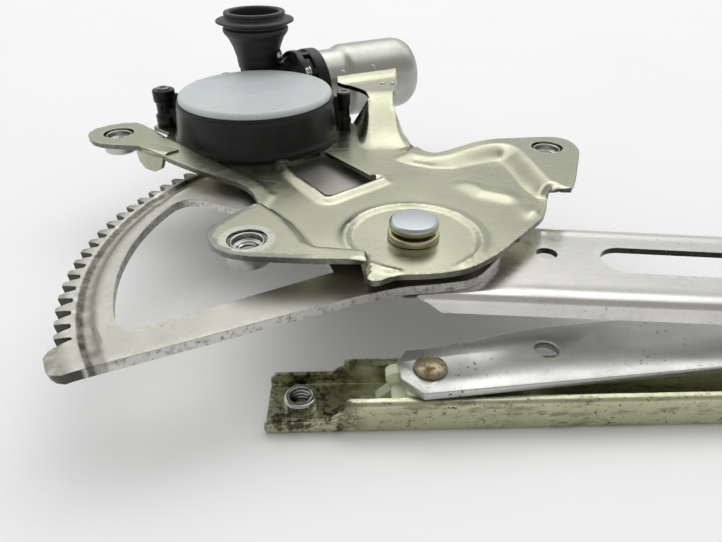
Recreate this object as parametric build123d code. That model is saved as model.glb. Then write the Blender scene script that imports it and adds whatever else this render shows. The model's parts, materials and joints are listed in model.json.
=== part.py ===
from build123d import *
import math
import os

# Cross-arm window regulator. Built about the main pivot axis, X along the glass rail, Z up,
# with the underside of the glass rail at zero, then shifted so that the mouth of the front
# ear's thread is the origin. Millimetres and degrees.

# ---- driving dimensions -------------------------------------------------------------------

# Clearances
run_gap = 0.05          # radial running clearance of a shaft in its bore
slide_gap = 0.25        # nylon slider against the channel walls
plate_gap = 0.6         # between pressings that pass over one another

# Arms and stack
arm_front = 191.0       # pivot to cross pin, and cross pin to guide slider
arm_back = 189.0        # cross pin to either rail slider
rest_angle = -5.71      # direction of the lift arm from the pivot
arm_t = 2.0
lift_flange_h = 6.0
lift_joggle = (30.0, 62.0)     # its start and end past the cross pin
cross_pin_r = 5.0
eq_t = 2.5
sector_t = 3.0

# Glass rail
rail_w = 20.0
rail_h = 11.1
rail_wall = 1.5
rail_lip = 2.6
rail_left = 46.3        # rail end to the equalizer slider's pin
rail_length = 454.0
rail_low_end = 21.0     # length of the low-walled ends
rail_low_h = 5.4
rail_nut_inset = 9.5
rail_nut_r = 4.45
rail_nut_h = 4.0
rail_window_l = 11.0
rail_window_w = 7.0

# Sliders
slider_l = 22.0
slider_pin_r = 4.0
slider_horn_l = 7.0
rivet_head_r = 4.75
rivet_head_h = 2.4

# Guide rail
guide_length = 262.0
guide_w = 22.0
guide_h = 12.0
guide_lip = 3.0
guide_margin = 17.0     # rail end past the slider's furthest place
guide_stud_r = 3.0
guide_stud_root_r = 4.0
guide_stud_l = 12.0
guide_stud_inset = 30.0

# Sector gear and pinion
gear_module = 2.0
pressure_angle = 20.0
sector_teeth_full = 104
pinion_teeth = 8
profile_shift = 0.5
tooth_backlash = 0.25
tip_clearance = 0.5
pinion_topping = 0.6    # taken off the pinion's tips, which would come to a point
pinion_angle = 121.7
sector_first_tooth = 99.2
sector_tooth_count = 31
sector_pad_angle = 6.0
sector_pad_r = 108.0
sector_hub_r = 28.0
sector_edge_offset = 15.8
sector_edge_angle = 23.4
sector_rim_w = 15.0
sector_opening = (153.5, 206.8)   # angles of its ends
sector_bead_w = 3.2
sector_bead_inset = 6.5
sector_bead_depth = 0.6
sector_rivet_r = 3.0
sector_rivet_places = ((18.5, 150.0), (18.5, 60.0), (18.0, 330.0))
sector_rivet_flush = 0.4
sector_rivet_foot = 1.4
pinion_face_w = 4.0

# Base plate
plate_t = 1.8
dish_z = 35.5
mount_z = 40.0
front_ear = (-50.5, -7.8)
left_ear = (-116.2, 83.5)
right_ear = (59.7, 62.6)
shelf_z = 49.5          # rear shelf beside the motor can
strip_w = 13.0
rear_strip_w = 10.0
rear_wall_foot = 6.6    # how far the rear strip's side wall spreads at the dish
ear_hole_r = 6.15
lip_depth = 2.0
stop_tab_w = 16.0
stop_tab_depth = 8.0

# Ear nuts, M6
thread_r = 2.6
nut_r = 6.8
nut_h = 5.8
nut_rim_r = 5.25
nut_recess = 2.2

# Main pivot
pivot_r = 6.0
pivot_head_r = 7.75
pivot_head_h = 2.9
pivot_collar_r = 8.2
pivot_collar_h = 2.5
pivot_neck_r = 6.6
pivot_neck_h = 1.0
bush_flange_r = 11.0

# Motor and gearbox
housing_r = 36.0
housing_wall = 4.5
housing_floor = 3.0
housing_h = 16.0
cover_lap = 1.2
cover_t = 2.4
cover_spigot = 0.4
gasket_t = 0.5
boss_r = 11.5
shaft_r = 5.0
screw_boss_r = 5.0
screw_r = 2.0
screw_head_r = 3.6
screw_head_h = 2.2
screw_reach = 2.0
far_screw_reach = 8.5
worm_offset = 27.0
worm_angle = 28.4
worm_z = 44.0
worm_r = 4.6
worm_l = 22.0
worm_core_r = 3.4
worm_pitch = 3.1
wheel_r = 22.0
wheel_t = 7.0
wheel_teeth = 44
wheel_web = 2.0
damper_r = 15.0
tube_r = 10.0
tube_bore_r = 4.85
armature_r = 2.4
can_r = 17.5
can_wall = 1.2
can_start = 42.0
can_l = 52.0
can_nose_r = 6.5
can_nose_l = 5.0
core_r = 11.6
core_l = 24.0
core_inset = 17.0       # can's mouth to the core
core_slots = 8
magnet_t = 3.4
magnet_l = 34.0
commutator_r = 5.0
commutator_l = 9.0

# Connector
plug_along = 18.7       # from the worm wheel's foot, along the motor
plug_out = 15.9         # from the motor axis
plug_neck_r = 8.5
plug_bell_r = 15.5
plug_flange_r = 18.5
plug_mouth_r = 13.5
plug_top_z = 78.0
plug_wall = 2.0

# ---- values worked out from them ----------------------------------------------------------

arm_dir = math.radians(rest_angle)
cross = (arm_front * math.cos(arm_dir), arm_front * math.sin(arm_dir))
lift_end = ((arm_front + arm_back) * math.cos(arm_dir), (arm_front + arm_back) * math.sin(arm_dir))
eq_near = (cross[0] - arm_back * math.cos(arm_dir), cross[1] + arm_back * math.sin(arm_dir))
eq_far = (cross[0] + arm_front * math.cos(arm_dir), cross[1] - arm_front * math.sin(arm_dir))
rail_y = eq_near[1]
rail_start = eq_near[0] - rail_left
rail_end = rail_start + rail_length
rail_nut_places = [(rail_start + rail_nut_inset, rail_y), (rail_end - rail_nut_inset, rail_y)]
guide_start = eq_far[0] + guide_margin - guide_length
stud_places = [(guide_start + guide_stud_inset, 0.0), (guide_start + guide_length - guide_stud_inset, 0.0)]

eq_low_z = rail_h + 0.9
sector_z = 28.0
arm_z = sector_z - arm_t
spacer_low = 17.0 + eq_t
eq_up_z = sector_z + plate_gap
guide_z = eq_up_z + eq_t + 1.3

gear_r = gear_module * sector_teeth_full / 2
pinion_r = gear_module * pinion_teeth / 2
gear_centre = gear_r + pinion_r
gear_x = gear_centre * math.cos(math.radians(pinion_angle))
gear_y = gear_centre * math.sin(math.radians(pinion_angle))
sector_tip_r = gear_r + gear_module * (1 - profile_shift)
sector_root_r = gear_r - gear_module * (1 + profile_shift) - tip_clearance
pinion_tip_r = pinion_r + gear_module * (1 + profile_shift) - pinion_topping
pinion_root_r = pinion_r - gear_module * (1 - profile_shift) - tip_clearance

plate_z = dish_z - plate_t
rim_r = housing_r + 4.0
cover_r = housing_r - housing_wall + cover_lap
near_screw_r = housing_r + screw_reach
far_screw_r = housing_r + far_screw_reach
screw_places = ((near_screw_r, 7.0), (near_screw_r, 118.0), (far_screw_r, 164.0))   # about the gear
housing_top = dish_z + housing_h
motor_x = math.cos(math.radians(worm_angle))
motor_y = math.sin(math.radians(worm_angle))
core_start = can_start + core_inset
worm_foot = (gear_x - worm_offset * motor_y, gear_y + worm_offset * motor_x)


def polar(radius, angle, centre=(0.0, 0.0)):
    """Plan point at a radius and an angle in degrees about a centre."""
    a = math.radians(angle)
    return (centre[0] + radius * math.cos(a), centre[1] + radius * math.sin(a))


def along_motor(distance, side=0.0):
    """Plan point a distance along the motor axis from the worm wheel's foot, and to its far side."""
    return (
        worm_foot[0] + distance * motor_x - side * motor_y,
        worm_foot[1] + distance * motor_y + side * motor_x,
    )


# ---- helpers ------------------------------------------------------------------------------


def prism(points, low, high, radius=0.0):
    """Closed outline, its corners rounded, raised from one height to another."""
    face = make_face(Polyline(*points, close=True))
    if radius:
        face = fillet(face.vertices(), radius)
    return Pos(0, 0, low) * extrude(face, high - low)


def disc(centre, radius, low, high):
    """Upright cylinder between two heights."""
    size = high - low
    return Pos(centre[0], centre[1], low + size / 2) * Cylinder(radius, size)


def ring(centre, outer, inner, low, high):
    """Upright tube between two heights."""
    return disc(centre, outer, low, high) - disc(centre, inner, low - 1, high + 1)


def smooth_line(points, steps=4):
    """Curved line through points, as short chords."""
    ends = [points[0], *points, points[-1]]
    line = [points[0]]
    for a, b, c, d in zip(ends, ends[1:], ends[2:], ends[3:]):
        for k in range(1, steps + 1):
            t = k / steps
            weights = (-t + 2 * t**2 - t**3, 2 - 5 * t**2 + 3 * t**3, t + 4 * t**2 - 3 * t**3, t**3 - t**2)
            line.append(tuple(sum(w * p[i] for w, p in zip(weights, (a, b, c, d))) / 2 for i in (0, 1)))
    return line


def block(low, high):
    """Box between two corners."""
    size = [b - a for a, b in zip(low, high)]
    middle = [(a + b) / 2 for a, b in zip(low, high)]
    return Pos(*middle) * Box(*size)


def slot(start, end, radius, low, high):
    """Long hole's core between two end centres."""
    angle = math.degrees(math.atan2(end[1] - start[1], end[0] - start[0]))
    length = math.hypot(end[0] - start[0], end[1] - start[1])
    middle = ((start[0] + end[0]) / 2, (start[1] + end[1]) / 2, (low + high) / 2)
    bar = Pos(*middle) * Rot(0, 0, angle) * Box(length, 2 * radius, high - low)
    return bar + disc(start, radius, low, high) + disc(end, radius, low, high)


def lying(distance, radius, length, side=0.0, rise=0.0):
    """Cylinder on the motor axis from a distance along it."""
    x, y = along_motor(distance, side)
    plane = Plane(origin=(x, y, worm_z + rise), z_dir=(motor_x, motor_y, 0))
    return extrude(plane * Circle(radius), length)


def lying_ring(distance, outer, inner, length):
    """Tube on the motor axis."""
    return lying(distance, outer, length) - lying(distance - 1, inner, length + 2)


def strip(start, end, width, profile):
    """Folded strip: a side profile of (distance, top height) points, run across its width."""
    length = math.hypot(end[0] - start[0], end[1] - start[1])
    run = ((end[0] - start[0]) / length, (end[1] - start[1]) / length)
    plane = Plane(origin=(start[0], start[1], 0), x_dir=(run[0], run[1], 0), z_dir=(run[1], -run[0], 0))
    under = [(d, z - plate_t) for d, z in reversed(profile)]
    face = make_face(Polyline(*profile, *under, close=True))
    return extrude(plane * face, width / 2, both=True)


def involute(angle):
    """Involute function of an angle in radians."""
    return math.tan(angle) - angle


def tooth_points(teeth, shift, tip_r, root_r, middle):
    """Outline of one involute tooth about its middle angle, in degrees, by rising angle."""
    alpha = math.radians(pressure_angle)
    pitch_r = gear_module * teeth / 2
    base_r = pitch_r * math.cos(alpha)
    half = (math.pi / 2 + 2 * shift * math.tan(alpha)) / teeth - tooth_backlash / 2 / pitch_r
    low_r = max(root_r, base_r + 0.01)
    radii = [low_r + (tip_r - low_r) * k / 4 for k in range(5)]
    flank = [(r, half + involute(alpha) - involute(math.acos(base_r / r))) for r in radii]
    rising = [(root_r, flank[0][1])] + flank if root_r < low_r else flank
    left = [polar(r, middle - math.degrees(a)) for r, a in rising]
    right = [polar(r, middle + math.degrees(a)) for r, a in reversed(rising)]
    return left + right


# ---- frame: base plate, ears and lift arm pivot -------------------------------------------


def plate_outline():
    """Dished part of the base plate, anticlockwise from its front left corner."""
    front = [(-15.6, -20.8), (-12.4, -23.6)]
    rim = [(-7.0, -21.4), (5.8, -20.6), (21.4, -15.6), (35.5, 1.6), (44.4, 13.0), (52.5, 28.0)]
    front += smooth_line(rim)
    right = [(56.0, 40.0), (52.0, 66.0), (45.2, 72.6), (25.8, 67.4), (14.2, 62.8), (7.6, 71.0), (5.0, 86.0)]
    gear = (gear_x, gear_y)
    back = []
    for radius, angle in screw_places:
        lobe_r = radius + screw_boss_r
        back += [polar(rim_r, angle - 15, gear), polar(lobe_r, angle - 6, gear)]
        back += [polar(lobe_r, angle + 6, gear), polar(rim_r, angle + 15, gear)]
    back.insert(4, polar(rim_r, 62, gear))
    back += [polar(rim_r, 205, gear)]
    left = [(-96.0, 71.4), (-85.0, 60.2), (-75.6, 52.0), (-64.2, 42.5), (-55.8, 37.0), (-51.7, 27.7)]
    left += [(-50.6, 15.0), (-43.0, 6.0), (-36.6, -8.0), (-22.0, -16.0)]
    return front + right + back + left


def front_ear_outline():
    """Raised front ear, from its right corner clockwise to the crease against the dish."""
    rim = [(-15.6, -20.8), (-28.0, -20.0), (-43.0, -19.0), (-52.0, -17.6), (-58.5, -14.0), (-62.2, -8.4)]
    crease = [(-49.6, 16.0), (-42.8, 7.0), (-36.0, -5.0), (-31.0, -12.0), (-15.6, -15.6)]
    return rim + [(-63.2, -1.4), (-57.0, 8.8)] + crease


def left_ear_outline():
    """Left ear, wider than its strip, anticlockwise from where the strip leaves it."""
    near = [(-104.2, 69.6), (-100.0, 80.0), (-108.8, 93.6), (-114.0, 96.8), (-121.0, 94.6)]
    return near + [(-128.0, 88.6), (-128.8, 82.0), (-123.6, 74.0), (-116.0, 70.4)]


def right_ear_outline():
    """Raised right ear with its square outer corner."""
    rim = [(50.8, 27.6), (57.2, 24.6), (65.4, 42.6), (71.0, 57.0), (71.0, 69.0), (66.6, 73.2)]
    return rim + [(45.2, 72.6), (43.0, 66.0), (45.0, 54.0)]


def raised_pad(outline, top, radius):
    """Flat pad with a wall down to the dish along its inner side."""
    pad = prism(outline, top - plate_t, top, radius)
    shell = prism(outline, plate_z, top, radius)
    floor = offset(shell.faces().sort_by(Axis.Z)[0], amount=-plate_t)
    core = extrude(floor, -(top - plate_z) * 2, both=True)
    dish = prism(plate_outline(), plate_z - 1, top + 1)
    return pad + ((shell - core) & dish)


def make_base_plate():
    """Stamped plate: dish, three raised ears, left and rear strips, lip, stop tab and window."""
    plate = prism(plate_outline(), plate_z, dish_z)
    outside = prism(plate_outline(), plate_z - lip_depth, dish_z)
    inside = extrude(offset(outside.faces().sort_by(Axis.Z)[0], amount=-plate_t), -lip_depth, both=True)
    plate += (outside - inside) & block((-15.6, -30, 0), (36, 1.0, dish_z))
    plate += raised_pad(front_ear_outline(), mount_z, 2.0)
    plate += raised_pad(right_ear_outline(), mount_z, 2.0)
    join = (-58.0, 41.5)
    span = math.hypot(join[0] - left_ear[0], join[1] - left_ear[1])
    profile = [(0, mount_z), (14, mount_z), (span - 16, dish_z + 0.9), (span, dish_z)]
    plate += strip(left_ear, join, strip_w, profile)
    plate += prism(left_ear_outline(), mount_z - plate_t, mount_z, 1.5)
    plate += rear_bracket()
    plate += stop_tab()
    plate += ring((0, 0), 21.0, 19.0, dish_z - 0.1, dish_z + 0.5)
    for centre in (front_ear, left_ear, right_ear):
        plate -= disc(centre, ear_hole_r, mount_z - 2 * plate_t, mount_z + 1)
    window = [(-45.8, 58.2), (-29.8, 72.4), (-8.6, 43.0), (-27.2, 28.2)]
    plate -= prism(window, plate_z - 1, dish_z + 1, 2.0)
    plate -= disc((0, 0), pivot_r + run_gap + 1.5, plate_z - 1, dish_z + 1)
    plate -= disc((gear_x, gear_y), boss_r + 0.3, plate_z - 1, dish_z + 1)
    for radius, angle in screw_places:
        plate -= disc(polar(radius, angle, (gear_x, gear_y)), screw_r + 0.3, plate_z - 1, dish_z + 1)
    return plate


def rear_bracket():
    """Strip that climbs to a shelf beside the motor can, with a leaning wall down its near side."""
    foot = (-0.5, 70.0)
    end = (-4.6, 116.0)
    reach = math.hypot(end[0] - foot[0], end[1] - foot[1])
    rise = [(0, dish_z), (8, dish_z + 0.8), (reach - 10, shelf_z), (reach, shelf_z)]
    bracket = strip(foot, end, rear_strip_w, rise)
    shelf = [(-10.5, 104.0), (-14.5, 113.5), (-24.0, 120.5), (-24.0, 124.0), (4.5, 137.5)]
    shelf += [(4.5, 120.0), (1.2, 106.0)]
    bracket += prism(shelf, shelf_z - plate_t, shelf_z, 1.5)
    edge = end[0] - rear_strip_w / 2 + 1.0
    low = edge - rear_wall_foot
    lean = [(low, plate_z), (low + plate_t * 1.3, plate_z), (edge + plate_t, shelf_z), (edge, shelf_z)]
    wall = extrude(Plane.XZ * make_face(Polyline(*lean, close=True)), -end[1])
    back = end[1] - 4.0
    knee = (foot[1] + reach - 10, shelf_z)
    sides = [(72.0, plate_z), (back, plate_z), (back, shelf_z), knee, (76.0, dish_z)]
    return bracket + (wall & extrude(Plane.YZ * make_face(Polyline(*sides, close=True)), 40, both=True))


def stop_tab():
    """Rounded tab turned down from the left strip, which stops the sector."""
    middle = (left_ear[0] + 18.5, left_ear[1] - 18.5, mount_z - plate_t)
    plane = Plane(origin=middle, x_dir=(0.81, -0.586, 0), z_dir=(-0.586, -0.81, 0))
    face = Pos(0, -stop_tab_depth / 2) * Rectangle(stop_tab_w, stop_tab_depth + 2)
    face = fillet(face.vertices().group_by(Axis.Y)[0], stop_tab_depth * 0.6)
    return extrude(plane * face, plate_t)


def make_ear_nuts():
    """Three M6 clinch nuts, each with its rim in the ear and its body below it."""
    nuts = Part()
    for centre in (front_ear, left_ear, right_ear):
        nut = disc(centre, nut_r, mount_z - plate_t - nut_h, mount_z - plate_t)
        nut += disc(centre, ear_hole_r, mount_z - plate_t, mount_z - 0.3)
        nut -= disc(centre, thread_r, 0, mount_z)
        nut -= disc(centre, nut_rim_r, mount_z - nut_recess, mount_z)
        nuts += nut
    return nuts


def make_pivot_bush():
    """Flanged bush in the dish, which the pivot pin turns in."""
    bush = disc((0, 0), pivot_r + run_gap + 1.5, plate_z, dish_z)
    bush += disc((0, 0), bush_flange_r, sector_z + sector_t + 0.2, plate_z)
    return bush - disc((0, 0), pivot_r + run_gap, 0, mount_z)


# ---- lift arm and sector ------------------------------------------------------------------


def arm_frame(points, angle=rest_angle, centre=(0.0, 0.0)):
    """Points given along and across an arm, turned to where the arm lies."""
    a = math.radians(angle)
    turned = []
    for along, across in points:
        x = centre[0] + along * math.cos(a) - across * math.sin(a)
        y = centre[1] + along * math.sin(a) + across * math.cos(a)
        turned.append((x, y))
    return turned


lift_span = arm_front + arm_back
lift_outline = [(-16.0, -14.0), (-2.0, -20.4), (110.0, -20.4), (arm_front, -17.0), (arm_front + 40, -13.0)]
lift_outline += [(lift_span, -11.0), (lift_span + 11, -6.0), (lift_span + 11, 6.0), (lift_span, 11.0)]
lift_outline += [(arm_front + 40, 15.0), (arm_front, 20.0), (100.0, 23.0), (50.0, 24.5), (14.0, 25.0)]
lift_outline += [(-14.0, 16.0)]


def joggled(outline, low, thickness, start, end, change, angle, centre=(0.0, 0.0), radius=3.0):
    """Flat arm whose height changes between two places along it."""
    reach = 600
    top = [(-reach, thickness), (start, thickness), (end, change + thickness), (reach, change + thickness)]
    under = [(reach, change), (end, change), (start, 0), (-reach, 0)]
    a = math.radians(angle)
    plane = Plane(origin=(centre[0], centre[1], low), x_dir=(math.cos(a), math.sin(a), 0),
                  z_dir=(math.sin(a), -math.cos(a), 0))
    side = extrude(plane * make_face(Polyline(*top, *under, close=True)), 60, both=True)
    plan = prism(arm_frame(outline, angle, centre), low - 40, low + 40, radius)
    return side & plan


def make_lift_arm():
    """Pressed channel arm with a hole, a long slot and a joggled end over the glass rail."""
    drop = eq_low_z - arm_z
    start, end = (arm_front + past for past in lift_joggle)
    arm = joggled(lift_outline, arm_z, arm_t, start, end, drop, rest_angle)
    outer = prism(arm_frame(lift_outline), arm_z - lift_flange_h + arm_t, arm_z + 0.01, 3.0)
    core = extrude(offset(outer.faces().sort_by(Axis.Z)[0], amount=-arm_t), -40, both=True)
    stop = start - 10
    keep = prism(arm_frame([(0, -30), (stop, -30), (stop, 30), (18, 30), (18, 0), (0, 0)]), 0, 60)
    arm += (outer - core) & keep
    hole = arm_frame([(43.5, 5.4)])[0]
    arm -= disc(hole, 3.4, 0, 60)
    arm -= slot(*arm_frame([(67.6, 3.0), (arm_front - 45, 1.0)]), 7.6, 0, 60)
    arm -= disc((0, 0), pivot_r, 0, 60)
    arm -= disc(cross, cross_pin_r + run_gap, 0, 60)
    arm -= disc(lift_end, slider_pin_r, 0, 60)
    for place in rivet_places():
        arm -= disc(place, sector_rivet_r, 0, 60)
    return arm


def rivet_places():
    """Three rivets that hold the sector to the lift arm, about the pivot."""
    return [polar(radius, angle) for radius, angle in sector_rivet_places]


def make_sector_gear():
    """Toothed sector with a toothless pad, an opening, a bead and a hub."""
    pitch = 360 / sector_teeth_full
    outline = []
    for k in range(sector_tooth_count):
        middle = sector_first_tooth + k * pitch
        outline += tooth_points(sector_teeth_full, -profile_shift, sector_tip_r, sector_root_r, middle)
    last = sector_first_tooth + (sector_tooth_count - 0.5) * pitch
    outline += [polar(sector_tip_r, last + 0.6), polar(sector_pad_r, last + 1.8)]
    outline += [polar(sector_pad_r, last + sector_pad_angle)]
    edge_x = -math.sqrt((sector_pad_r - 2.5) ** 2 - sector_edge_offset**2)
    e = math.radians(sector_edge_angle)

    def on_edge(distance):
        return (
            distance * math.cos(e) + sector_edge_offset * math.sin(e),
            distance * math.sin(e) - sector_edge_offset * math.cos(e),
        )

    outline += [on_edge(edge_x), on_edge(5.0), polar(20.8, -36.0), polar(24.2, -19.0)]
    outline += [polar(sector_hub_r, a) for a in range(-6, 80, 12)]
    outline += [polar(sector_root_r, sector_first_tooth - 3)]
    gear = prism(outline, sector_z, sector_z + sector_t)
    inner_r = sector_tip_r - sector_rim_w
    start, end = sector_opening
    arc = [polar(inner_r, start + (end - start) * k / 6) for k in range(7)]
    opening = arc + [polar(sector_hub_r, end), polar(38.0, start)]
    gear -= prism(opening, sector_z - 1, sector_z + sector_t + 1, 7.0)
    bead_r = sector_tip_r - sector_bead_inset
    face = sector_z + sector_t
    bead = ring((0, 0), bead_r, bead_r - sector_bead_w, face - sector_bead_depth, face + 1)
    wedge = prism([(0, 0)] + [polar(200, a) for a in (101, 140, 175, 207)], 0, 60)
    gear -= bead & wedge
    gear -= disc((0, 0), pivot_r, 0, 60)
    for place in rivet_places():
        gear -= disc(place, sector_rivet_r, 0, 60)
    return gear


def make_sector_rivets():
    """Rivets through sector and arm, headed on both faces."""
    rivets = Part()
    for place in rivet_places():
        top = sector_z + sector_t
        rivets += disc(place, sector_rivet_r, arm_z, top)
        rivets += disc(place, sector_rivet_r + 1.6, arm_z - sector_rivet_foot, arm_z)
        rivets += disc(place, sector_rivet_r + 1.2, top, top + sector_rivet_flush)
    return rivets


def make_pivot_pin():
    """Main pivot: foot under the arm, shank through the bush, collar, neck and flat head."""
    top = dish_z + pivot_collar_h
    pin = disc((0, 0), pivot_head_r, arm_z - 2.0, arm_z)
    pin += disc((0, 0), pivot_r, arm_z, top)
    pin += disc((0, 0), pivot_collar_r, dish_z + 0.1, top)
    pin += disc((0, 0), pivot_neck_r, top, top + pivot_neck_h)
    head = disc((0, 0), pivot_head_r, top + pivot_neck_h, top + pivot_neck_h + pivot_head_h)
    return pin + chamfer(head.edges().group_by(Axis.Z)[-1], 0.5)


def domed_pin(centre, low, high, radius):
    """Pin with a domed head whose flat underside is at the upper height."""
    dome = disc(centre, rivet_head_r, high, high + rivet_head_h)
    dome = fillet(dome.edges().group_by(Axis.Z)[-1], rivet_head_h * 0.85)
    return disc(centre, radius, low, high) + dome


def make_lift_end_pin():
    """Pin from the lift arm down into its slider."""
    return domed_pin(lift_end, rail_wall + 1.5, eq_low_z + arm_t, slider_pin_r)


# ---- equalizer ----------------------------------------------------------------------------


def make_equalizer_lower_arm():
    """Flat arm with a chamfered end, joggled up towards the cross pin."""
    angle = -rest_angle
    near = -9.4
    reach = arm_back
    outline = [(-8.9, -2.6), (-3.6, near), (40.0, near), (reach, -10.0), (reach + 9, -6.0), (reach + 9, 6.0)]
    outline += [(reach, 10.5), (110.0, 13.0), (60.0, 14.6), (36.5, 14.2)]
    outline += [(0.0, 8.7), (-5.5, 8.7), (-8.9, 4.0)]
    rise = spacer_low - eq_t - eq_low_z
    arm = joggled(outline, eq_low_z, eq_t, 120, 138, rise, angle, eq_near, 0.8)
    arm -= disc(arm_frame([(35.5, 3.9)], angle, eq_near)[0], 3.55, 0, 60)
    arm -= disc(eq_near, slider_pin_r, 0, 60)
    return arm - disc(cross, cross_pin_r, 0, 60)


def make_equalizer_upper_arm():
    """Upper half, from the cross pin to the guide rail's slider."""
    outline = [(-9.0, -6.0), (-4.0, -11.0), (120.0, -12.0), (arm_front, -9.0), (arm_front + 9, -5.0)]
    outline += [(arm_front + 9, 5.0), (arm_front, 9.0), (120.0, 12.0), (-4.0, 11.0), (-9.0, 6.0)]
    arm = prism(arm_frame(outline, -rest_angle, cross), eq_up_z, eq_up_z + eq_t, 3.0)
    arm -= slot(*arm_frame([(40.0, 0.0), (95.0, 0.0)], -rest_angle, cross), 5.0, 0, 60)
    arm -= disc(eq_far, slider_pin_r, 0, 60)
    return arm - disc(cross, cross_pin_r, 0, 60)


def make_cross_pin():
    """Rivet that joins both equalizer halves through the lift arm."""
    pin = disc(cross, cross_pin_r, spacer_low - eq_t, eq_up_z + eq_t)
    pin += disc(cross, cross_pin_r + 3.0, spacer_low - eq_t - 1.6, spacer_low - eq_t)
    return pin + disc(cross, cross_pin_r + 3.0, eq_up_z + eq_t, eq_up_z + eq_t + 1.0)


def make_cross_spacer():
    """Spacer between the lower half and the lift arm."""
    return ring(cross, cross_pin_r + 3.5, cross_pin_r, spacer_low, arm_z - 0.1)


def make_equalizer_pins():
    """Headed pins into the rail slider below and the guide slider above."""
    low = domed_pin(eq_near, rail_wall + 1.5, eq_low_z + eq_t, slider_pin_r)
    top = guide_z + guide_h - rail_wall - 1.5
    high = disc(eq_far, slider_pin_r, eq_up_z, top) + disc(eq_far, rivet_head_r + 1, eq_up_z - 1.6, eq_up_z)
    return Part() + low + high


# ---- rails and sliders --------------------------------------------------------------------


def channel(start, end, middle, width, height, lip, low):
    """C-channel along X with in-turned lips, open side up."""
    half = width / 2
    body = block((start, middle - half, low), (end, middle + half, low + height))
    body = fillet(body.edges().filter_by(Axis.X).group_by(Axis.Z)[0], rail_wall * 1.2)
    body = fillet(body.edges().filter_by(Axis.X).group_by(Axis.Z)[-1], rail_wall * 0.9)
    inner = half - rail_wall
    floor = low + rail_wall
    mouth = half - lip
    body -= block((start - 1, middle - inner, floor), (end + 1, middle + inner, low + height - rail_wall))
    return body - block((start - 1, middle - mouth, floor), (end + 1, middle + mouth, low + height + 1))


def make_glass_rail():
    """Channel that carries the glass, its ends cut down to low walls."""
    rail = channel(rail_start, rail_end, rail_y, rail_w, rail_h, rail_lip, 0)
    half = rail_w / 2 + 1
    for start, end in ((rail_start - 1, rail_start + rail_low_end), (rail_end - rail_low_end, rail_end + 1)):
        rail -= block((start, rail_y - half, rail_low_h), (end, rail_y + half, rail_h + 1))
    for place in rail_nut_places:
        rail -= disc(place, rail_nut_r - 1.0, -1, rail_wall + 1)
    window = (rail_window_l / 2, rail_window_w / 2)
    for x in (rail_start + 32.0, rail_start + rail_length / 2, rail_end - 32.0):
        low = (x - window[0], rail_y - window[1], -1)
        rail -= block(low, (x + window[0], rail_y + window[1], rail_wall + 0.5))
    return rail


def make_rail_nuts():
    """Weld nuts for the glass bolts on the rail's floor."""
    nuts = Part()
    for place in rail_nut_places:
        nuts += ring(place, rail_nut_r, thread_r, rail_wall, rail_wall + rail_nut_h)
        nuts += ring(place, rail_nut_r - 1.0, thread_r, 0.2, rail_wall)
    return nuts


def slider(centre, width, height, lip, low, flip, horn):
    """Nylon slider that runs in a channel and takes a pin in its neck."""
    inner = width / 2 - rail_wall - slide_gap
    neck = width / 2 - lip - slide_gap
    bottom = low + rail_wall + slide_gap
    top = low + height - rail_wall - slide_gap
    face = low + height + 0.6
    half = slider_l / 2
    x, y = centre
    body = block((x - half, y - inner, bottom), (x + half, y + inner, top))
    body = fillet(body.edges().filter_by(Axis.Z), 2.0)
    body += block((x - half + 4, y - neck, top), (x + half - 4, y + neck, face))
    if horn:
        tip = x - half - slider_horn_l
        body += block((tip, y + neck - 2.6, bottom + 2), (x - half + 1, y + neck, top))
        body += block((tip, y - 1.0, bottom + 2), (tip + 2.4, y + neck, top))
    if flip:
        middle = (2 * low + height) / 2
        body = Pos(0, 0, middle) * mirror(Pos(0, 0, -middle) * body, Plane.XY)
    return body - disc(centre, slider_pin_r + run_gap, 0, 60)


def make_guide_rail():
    """Channel fixed to the door panel, open side down."""
    rail = channel(guide_start, guide_start + guide_length, 0, guide_w, guide_h, guide_lip, guide_z)
    middle = guide_z + guide_h / 2
    rail = Pos(0, 0, middle) * mirror(Pos(0, 0, -middle) * rail, Plane.XY)
    for place in stud_places:
        rail -= disc(place, guide_stud_root_r, 0, 90)
    return rail


def make_guide_studs():
    """Threaded studs with wider roots flush in the guide rail."""
    studs = Part()
    top = guide_z + guide_h
    for place in stud_places:
        studs += disc(place, guide_stud_r, top, top + guide_stud_l)
        studs += disc(place, guide_stud_root_r, top - rail_wall, top)
    return studs


# ---- gearbox ------------------------------------------------------------------------------


def make_gear_housing():
    """Moulded gear housing: cup, worm tube, motor flange, screw bosses and connector arm."""
    centre = (gear_x, gear_y)
    body = disc(centre, housing_r, dish_z, housing_top)
    body += lying(-18, tube_r, can_start - 6 + 18)
    body += lying(can_start - 12, can_r, 12)
    px, py = along_motor(plug_along, plug_out / 2)
    arm = Pos(px, py, worm_z + 1) * Rot(0, 0, worm_angle + 90) * Box(plug_out, 2 * plug_neck_r, 9)
    body += arm
    plug = along_motor(plug_along, plug_out)
    body += disc(plug, plug_neck_r, worm_z - 4, worm_z + 14)
    for radius, angle in screw_places:
        body += disc(polar(radius, angle, centre), screw_boss_r, dish_z, housing_top)
        mid = polar(radius - 6, angle, centre)
        body += Pos(mid[0], mid[1], dish_z + 4) * Rot(0, 0, angle) * Box(12, 2 * screw_boss_r, 8)
    body -= disc(centre, housing_r - housing_wall, dish_z + housing_floor, 90)
    body -= disc(centre, cover_r + 0.15, housing_top, 90)
    body -= prism(plate_outline(), 0, dish_z)
    body += disc(centre, boss_r, plate_z - 1.2, dish_z + housing_floor + 1)
    body -= disc(centre, shaft_r + run_gap, 0, 90)
    body -= lying(-15, tube_bore_r, can_start + 15)
    body -= lying(can_start - 9, can_r - can_wall - 0.4, 10)
    body -= disc(plug, plug_neck_r - plug_wall, worm_z - 1, 90)
    for radius, angle in screw_places:
        body -= disc(polar(radius, angle, centre), screw_r, 0, 90)
    return body


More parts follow.
